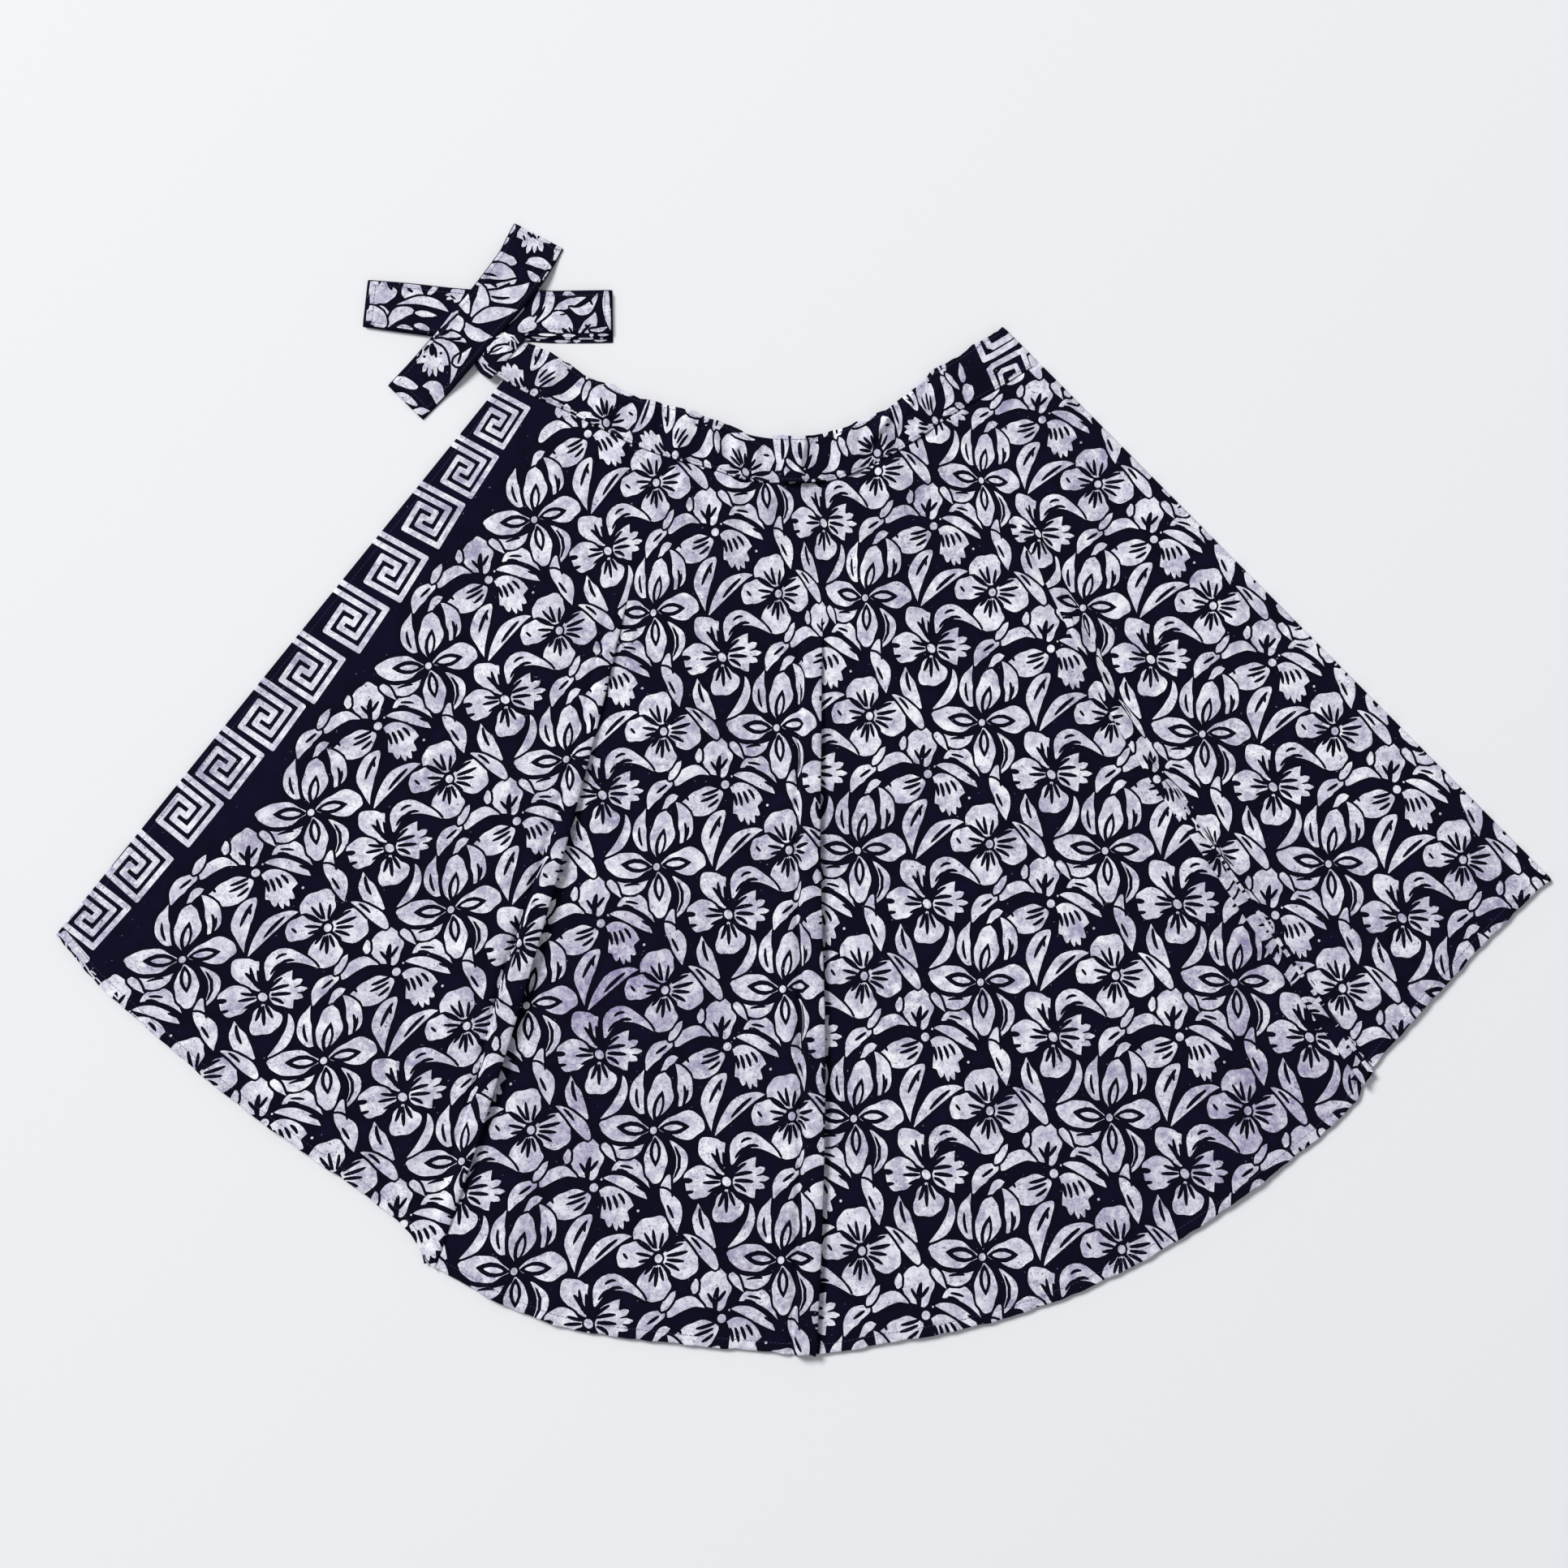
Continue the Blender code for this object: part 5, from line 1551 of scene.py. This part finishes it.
# The waistband's turned end: its outline, print, white edge lines, and the ridges of its wraps
ROOT_OUTLINE = (
    (-206.1, 331.2), (-209.6, 335.1), (-214.8, 337.5), (-220.8, 338.1), (-228, 336.9), (-233.1, 333.9),
    (-238.1, 328.9), (-241.2, 323.4), (-241.8, 318), (-239.6, 312), (-235.5, 306.4), (-231.3, 303),
    (-228, 306.3), (-224.1, 311.4), (-219.6, 316.5), (-215.4, 321.3), (-210.9, 326.4),
)
ROOT_PETALS = (
    (-232.8, 321.4, -226.1, 329.7, -216.3, 331.2, 11.1, 0.55, 0.7, 0.5),
    (-231.3, 320.4, -223.8, 323.7, -214.5, 324.9, 5.4, 0.6, 0.8, 0.6),
    (-226.1, 315, -216.3, 318.9, -203.6, 321.6, 4.5, 0.5, 0.9, 0.8),
    (-238.5, 320.4, -237.3, 316.2, -232.8, 313.2, 3.3, 0.5, 0.5, 0.6),
)
ROOT_VEINS = (
    (-231.3, 323.7, -223.8, 328.2, 1.5, 0.3), (-230.6, 321.4, -221.6, 325.9, 1.3, 0),
    (-228.3, 331.2, -224.6, 333, 0.9, 0),
)
ROOT_LINES = (
    (1.2, ((-231.3, 334.5), (-222.3, 336.3), (-214.1, 333.9), (-210.6, 328.9))),
    (1.1, ((-217.8, 333.9), (-213.3, 329.7), (-212.4, 323.7))),
    (1.2, ((-240.3, 316.9), (-235.5, 309.4), (-229.1, 304.9))),
    (0.9, ((-238.1, 318.4), (-232.8, 310.9), (-227.1, 307.2))),
    (0.9, ((-236.1, 323.7), (-236.6, 320.4))),
    (1.1, ((-220.8, 336.6), (-216.3, 331.2), (-216.3, 323.7))),
)
ROOT_CREASES = (
    (-231.5, 334.5, -221.5, 331.5, -212.8, 322, 3.2, 1.3, -1),
    (-239, 317.5, -232, 309.5, -226, 306.5, 2.6, 1, 1),
    (-237, 327, -228, 318, -219, 314.5, 2.6, 1.1, -1),
    (-226, 337.5, -219, 330.5, -209.5, 333.5, 2.4, 0.9, 1),
)
ROOT_EDGE = 4.8  # height of its edge where it turns down to the floor
ROOT_LEAST_ROLL = 0.7
ROOT_DOME = 2.0
ROOT_GRID = 1.8
ROOT_MEETS = (-218.3, 319.0)  # the middle of the line where it meets the waistband
ROOT_HEADING = (0.759, -0.651)
# How far before that line it starts to climb, and the lengths of the climb, the dome's flank
# and the stretch beside the edge where creases die out
ROOT_BEFORE = 9
ROOT_CLIMB = 8
ROOT_FLANK = 8
ROOT_CALM = 4


def make_root(materials):
    """The waistband's turned end, wrapped round the start of the tie."""
    ring = np.array(ROOT_OUTLINE)
    count = len(ring)
    closed = [(k, *ring[k % count]) for k in range(-2, count + 3)]
    at = np.linspace(0, count, 4 * count, endpoint=False)
    outline = pair(curve_through(closed, at, 1), curve_through(closed, at, 2))
    if signed_area(outline) < 0:
        outline = outline[::-1]
    band_top = BAND_FRONT_HEIGHT + BAND_CLOTH / 2

    def on_band(places):
        """1 where the turned end lies on the waistband, 0 where it reaches the floor."""
        past = (places - ROOT_MEETS) @ np.array(ROOT_HEADING)
        return smoothstep((past + ROOT_BEFORE) / ROOT_CLIMB)

    def edge_height(places):
        return ROOT_EDGE + (band_top + 2 * ROOT_LEAST_ROLL - ROOT_EDGE) * on_band(places)

    def height(places):
        away = np.hypot(*(places[:, None] - outline[None]).transpose(2, 0, 1)).min(1)
        dome = ROOT_DOME * smoothstep(away / ROOT_FLANK)
        wraps = creased(ROOT_CREASES, places) * smoothstep(away / ROOT_CALM)
        return edge_height(places) + dome + wraps

    rims = pair((edge_height(outline) - band_top * on_band(outline)) / 2, np.full(len(outline), 1.0))
    shapes = placed_print(ROOT_PETALS, ROOT_VEINS, 4) + strokes(ROOT_LINES)
    return joined_piece("tie_root_cloth", [(outline, rims, shapes, height, ROOT_GRID)], materials)


# ---- stitches ----

STITCH_PITCH = 3.0
STITCH_LENGTH = 2.1
STITCH_WIDTH = 0.4
STITCH_HEIGHT = 0.3
# The faces of a stitch, whose first three places are at one end and the last three at the other
STITCH_FACES = ((0, 3, 5, 2), (1, 2, 5, 4), (0, 2, 1), (3, 4, 5), (0, 1, 4, 3))
# How far the stitching lies inside each edge
FREE_STITCH = 5.5
HEM_STITCH = 7.5
BAND_STITCH = 3.6
SEAM_STITCH = 2.4
TIE_STITCH = 3.0
STITCHED = 120  # places along a stitched edge


def resampled(places, pitch):
    """Places at even steps along a line."""
    steps = np.hypot(*np.diff(places, axis=0).T)
    length = np.concatenate([[0], np.cumsum(steps)])
    at = np.arange(0, length[-1], pitch)
    return pair(*(np.interp(at, length, places[:, c]) for c in (0, 1)))


def make_stitches(name, lines, material):
    """Rows of thread, each a line of places and the height of the cloth beneath."""
    points, faces = [], []
    for line, height in lines:
        starts = resampled(line, STITCH_PITCH)
        ahead = unit(np.diff(starts, axis=0))
        side = pair(-ahead[:, 1], ahead[:, 0]) * STITCH_WIDTH / 2
        starts = starts[:-1]
        ends = starts + ahead * STITCH_LENGTH
        for a, b, w, za, zb in zip(starts, ends, side, height(starts), height(ends)):
            faces += [tuple(len(points) + v for v in face) for face in STITCH_FACES]
            for place, z in ((a, za), (b, zb)):
                points += [(*(place + w), z), (*(place - w), z), (*place, z + STITCH_HEIGHT)]
    return mesh_object(name, np.array(points), faces, [0] * len(faces), np.ones(len(points)), [material])


def tie_stitch_lines(table, layers):
    """Stitching along both edges and both ends of a tie's top layer."""
    share = np.linspace(0.02, 0.97, 100)
    line, width, _ = route_places(table, share)
    half = width / 2 - LAYER_INSETS[layers - 1] - TIE_STITCH
    lower = half - (LAYER_STEPS[3] if layers == 4 else 0.0) * past_crossing(share)
    left, right = beside(line, half), beside(line, -lower)
    rows = [left, right] + [np.linspace(left[k], right[k], 20) for k in (1, -2)]
    return [(row, tie_height(table, layers - 1)) for row in rows]


def edge_stitches(material):
    """The stitching along the waistband's top, the free front edge, the hem and the tie."""
    down = np.linspace(0, 1, 200)
    free = fan_line(LEFT_ANGLE, down_radii(LEFT_ANGLE, 0.01 + 0.98 * down), FREE_STITCH)
    hems, bands = [], []
    for part in range(4):
        start, end = (fan_measure(part_side(part, right)[0][-1])[0] for right in (False, True))
        angles = np.linspace(start + 0.5, end - 0.5, STITCHED)
        hems.append((fan_place(angles, down_radii(angles, 1.0) - HEM_STITCH), front_height(part)))
    crest = float(curve_through(BAND_FOLD, 0.0))
    ends = ((BAND_LEFT_ANGLE + 0.8, crest - 0.4), (crest + 0.4, RIGHT_ANGLE - 0.5))
    for side, (start, end) in enumerate(ends):
        angles = np.linspace(start, end, STITCHED)
        for radii in (band_edge(side, angles) + BAND_STITCH, seam_radius(angles) - SEAM_STITCH):
            bands.append((fan_place(angles, radii), band_height(side)))
    make_stitches("free_edge_stitches", [(free, front_height(0))], material)
    make_stitches("hem_stitches", hems, material)
    make_stitches("waistband_stitches", bands, material)
    make_stitches("tie_flat_stitches", tie_stitch_lines(TIE_FLAT, 4), material)
    make_stitches("tie_cross_stitches", tie_stitch_lines(TIE_CROSS, 2), material)


# ---- surfaces ----


def linear(red, green, blue):
    """A shader's colour from a screen's."""
    out = []
    for value in (red, green, blue):
        value /= 255
        out.append(value / 12.92 if value <= 0.04045 else ((value + 0.055) / 1.055) ** 2.4)
    return (*out, 1.0)


class Finish:
    """A material and the nodes it is built from."""

    def __init__(self, name, base, roughness, specular=None):
        self.material = bpy.data.materials.new(name)
        self.material.use_nodes = True
        self.tree = self.material.node_tree
        self.shader = self.tree.nodes["Principled BSDF"]
        self.place = self.node("ShaderNodeTexCoord").outputs["Object"]
        self.base = linear(*base)
        self.shader.inputs["Roughness"].default_value = roughness
        if specular is not None:
            self.shader.inputs["Specular IOR Level"].default_value = specular

    def node(self, kind, **inputs):
        made = self.tree.nodes.new(kind)
        for name, value in inputs.items():
            self.feed(made.inputs[name.replace("_", " ")], value)
        return made

    def feed(self, socket, value):
        """Gives a socket a value or another node's output."""
        if isinstance(value, bpy.types.NodeSocket):
            self.tree.links.new(value, socket)
        else:
            socket.default_value = value

    def noise(self, scale, detail=2.0, roughness=0.5):
        made = self.node("ShaderNodeTexNoise", Vector=self.place, Scale=scale, Detail=detail)
        self.feed(made.inputs["Roughness"], roughness)
        return made.outputs["Fac"]

    def ramp(self, value, low, high, bottom=0.0, top=1.0):
        made = self.node("ShaderNodeMapRange", Value=value, From_Min=low, From_Max=high)
        self.feed(made.inputs["To Min"], bottom)
        self.feed(made.inputs["To Max"], top)
        return made.outputs["Result"]

    def patches(self, scale, detail, roughness, *limits):
        """Noise that is cut off between two limits."""
        return self.ramp(self.noise(scale, detail, roughness), *limits)

    def maths(self, kind, first, second):
        made = self.node("ShaderNodeMath")
        made.operation = kind
        self.feed(made.inputs[0], first)
        self.feed(made.inputs[1], second)
        return made.outputs[0]

    def times(self, first, *others):
        for other in others:
            first = self.maths("MULTIPLY", first, other)
        return first

    def tint(self, share, colour):
        """Lays a colour over the base where a share says."""
        made = self.node("ShaderNodeMix", Factor=share)
        made.data_type = "RGBA"
        sockets = [s for s in made.inputs if s.type == "RGBA"]
        self.feed(sockets[0], self.base)
        self.feed(sockets[1], linear(*colour))
        self.base = next(s for s in made.outputs if s.type == "RGBA")

    def attribute(self, name):
        made = self.node("ShaderNodeAttribute")
        made.attribute_name = name
        return made.outputs["Fac"]

    def done(self, weave=0, strength=0):
        """Joins the base colour and the weave's bumps, if there are any, to the shader."""
        self.feed(self.shader.inputs["Base Color"], self.base)
        if weave:
            bump = self.node("ShaderNodeBump", Strength=strength, Distance=WEAVE_DEPTH)
            self.feed(bump.inputs["Height"], self.noise(weave))
            self.feed(self.shader.inputs["Normal"], bump.outputs["Normal"])
        return self.material

    def crackle(self, scale, width):
        """Thin broken lines, 1 on a line."""
        warp = self.node("ShaderNodeTexNoise", Vector=self.place, Scale=scale * 0.8, Detail=2.0)
        moved = self.node("ShaderNodeVectorMath")
        moved.operation = "MULTIPLY_ADD"
        for socket, value in zip(moved.inputs, (warp.outputs["Color"], (0.9 / scale,) * 3, self.place)):
            self.feed(socket, value)
        cells = self.node("ShaderNodeTexVoronoi", Scale=scale, Vector=moved.outputs[0])
        cells.feature = "DISTANCE_TO_EDGE"
        return self.ramp(cells.outputs["Distance"], 0.0, width, 1.0, 0.0)


WEAVE_DEPTH = 0.0004


def wax_white():
    """Waxed cotton that stayed pale: grained, blotched with dye and finely cracked."""
    finish = Finish("wax_white", (243, 245, 249), 0.88, 0.3)
    patches, times = finish.patches, finish.times
    stain = finish.attribute("stain")
    blot_weight = finish.maths("ADD", times(stain, 0.5), 0.46)
    mottles = times(patches(17, 2, 0.5, 0.46, 0.60), patches(130, 5, 0.7, 0.44, 0.60), 0.62)
    soaked = times(patches(60, 4, 0.6, 0.30, 0.55), stain, patches(330, 5, 0.75, 0.34, 0.6, 0.35, 1), 0.9)
    cracks = times(finish.crackle(120, 0.045), patches(34, 2, 0.5, 0.44, 0.62), 0.34)
    dots = times(patches(640, 1.5, 0.5, 0.61, 0.70), patches(72, 3, 0.6, 0.45, 0.58), 0.85)
    # Clouds, patches, blots, mottles, soaked stains, cracks, specks, dots and grain
    finish.tint(patches(48, 5, 0.62, 0.36, 0.62), (222, 225, 235))
    finish.tint(times(patches(95, 6, 0.72, 0.43, 0.62), 0.6), (164, 160, 189))
    finish.tint(times(patches(210, 6, 0.78, 0.49, 0.63), blot_weight), (106, 98, 142))
    finish.tint(mottles, (124, 114, 154))
    finish.tint(soaked, (122, 106, 154))
    finish.tint(cracks, (96, 94, 132))
    finish.tint(times(patches(760, 3, 0.6, 0.62, 0.72), 0.6), (70, 66, 104))
    finish.tint(dots, (62, 56, 100))
    finish.tint(patches(1300, 3, 0.7, 0.35, 0.65, 0.0, 0.2), (120, 122, 150))
    return finish.done(1100, 0.15)


def navy_ground():
    """The dyed ground, darkest beside the print, with a few undyed specks."""
    finish = Finish("navy_ground", (13, 13, 37), 0.9, 0.06)
    finish.tint(finish.patches(60, 3, 0.5, 0.3, 0.75), (9, 9, 27))
    finish.tint(finish.ramp(finish.attribute("open"), 0.0, 0.5, 0.55, 0.0), (7, 7, 17))
    finish.tint(finish.times(finish.patches(420, 1, 0.5, 0.765, 0.79), 0.5), (150, 155, 185))
    return finish.done(900, 0.12)


# ---- the scene ----

CAMERA_PLACE = (-0.0147, 0.0036)
CAMERA_DISTANCE = 2.6
VIEW_WIDTH = 1.1592
SENSOR_WIDTH = 36
FLOOR_HALF = 3.0
KEY_PLACE = (-8.12, 7.68, 11.58)
KEY_SIZE = 5.0
KEY_POWER = 2700
ROOM_LIGHT = 0.40


def make_stage():
    mesh = bpy.data.meshes.new("floor")
    corners = [(x * FLOOR_HALF, y * FLOOR_HALF, 0) for x, y in ((-1, -1), (1, -1), (1, 1), (-1, 1))]
    mesh.from_pydata(corners, [], [(0, 1, 2, 3)])
    mesh.materials.append(Finish("pale_floor", (226, 227, 231), 0.9, 0.1).done())
    linked("floor", mesh)


def make_lights():
    light = bpy.data.lights.new("key", "AREA")
    light.size = KEY_SIZE
    light.energy = KEY_POWER
    light.color = (1.0, 0.985, 0.96)
    obj = linked("key", light, KEY_PLACE)
    obj.rotation_euler = (-Vector(KEY_PLACE)).to_track_quat("-Z", "Y").to_euler()
    world = bpy.data.worlds.new("room")
    bpy.context.scene.world = world
    world.use_nodes = True
    background = world.node_tree.nodes["Background"]
    background.inputs["Color"].default_value = (0.94, 0.96, 1.0, 1)
    background.inputs["Strength"].default_value = ROOM_LIGHT


def make_camera():
    camera = bpy.data.cameras.new("camera")
    camera.sensor_width = SENSOR_WIDTH
    camera.lens = SENSOR_WIDTH * CAMERA_DISTANCE / VIEW_WIDTH
    camera.clip_end = 20
    bpy.context.scene.camera = linked("camera", camera, (*CAMERA_PLACE, CAMERA_DISTANCE))


def shown(obj, node, width, length, held="laid", area=None):
    """Hides the part's node that a cloth stands for. The cloth, its flat cut in metres, how it is held
    and its area are not used.
    """
    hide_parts(node)


def main():
    materials = [navy_ground(), wax_white()]
    for front, (width, length, area) in zip(make_front(materials), FRONT_CUTS):
        shown(front, "front_panel", width, length, area=area)
    shown(make_band(materials), "waistband_front", 0.46, 0.042)
    panel, band = (panel_radii, CLOTH / 2), (band_radii, BAND_CLOTH / 2)
    low = rising_to(BACK_HEIGHT, BACK_HEIGHT)
    middle = rising_to(UNDER_HEIGHT, BAND_UNDER_HEIGHT)
    band_low, band_middle = level_at(BAND_CLOTH), level_at(BAND_UNDER_HEIGHT + BAND_CLOTH / 2)
    # The hidden cloths: node, degrees inside the left edge, last angle, radii and roll, upper
    # face, flat cut
    for node, start, end, (radii, roll), height, cut in (
        ("back_panel", 0.2, RIGHT_ANGLE - 0.5, panel, low, (1.10, 0.73, "laid", 0.51)),
        ("under_wrap", 0.6, UNDER_WRAP_END, panel, middle, (1.08, 0.73, "laid", 0.5)),
        ("waistband_back", 0.2, RIGHT_ANGLE - 1, band, band_low, (0.44, 0.042)),
        ("waistband_under", 0.6, UNDER_WRAP_END, band, band_middle, (0.43, 0.042)),
    ):
        name = node.replace("_panel", "") + "_cloth"
        shown(fan_sheet(name, LEFT_ANGLE + start, end, radii, height, roll, materials), node, *cut)
    flat, cross = make_tie(materials)
    shown(flat, "tie_flat", 0.75, 0.038, "folded")
    shown(cross, "tie_cross", 0.33, 0.038, "folded")
    shown(make_root(materials), "tie_root", 0.04, 0.038, "folded")
    edge_stitches(Finish("thread", (54, 54, 86), 0.85).done())
    make_stage()
    make_lights()
    make_camera()
    bpy.context.scene.view_settings.view_transform = "Standard"


main()
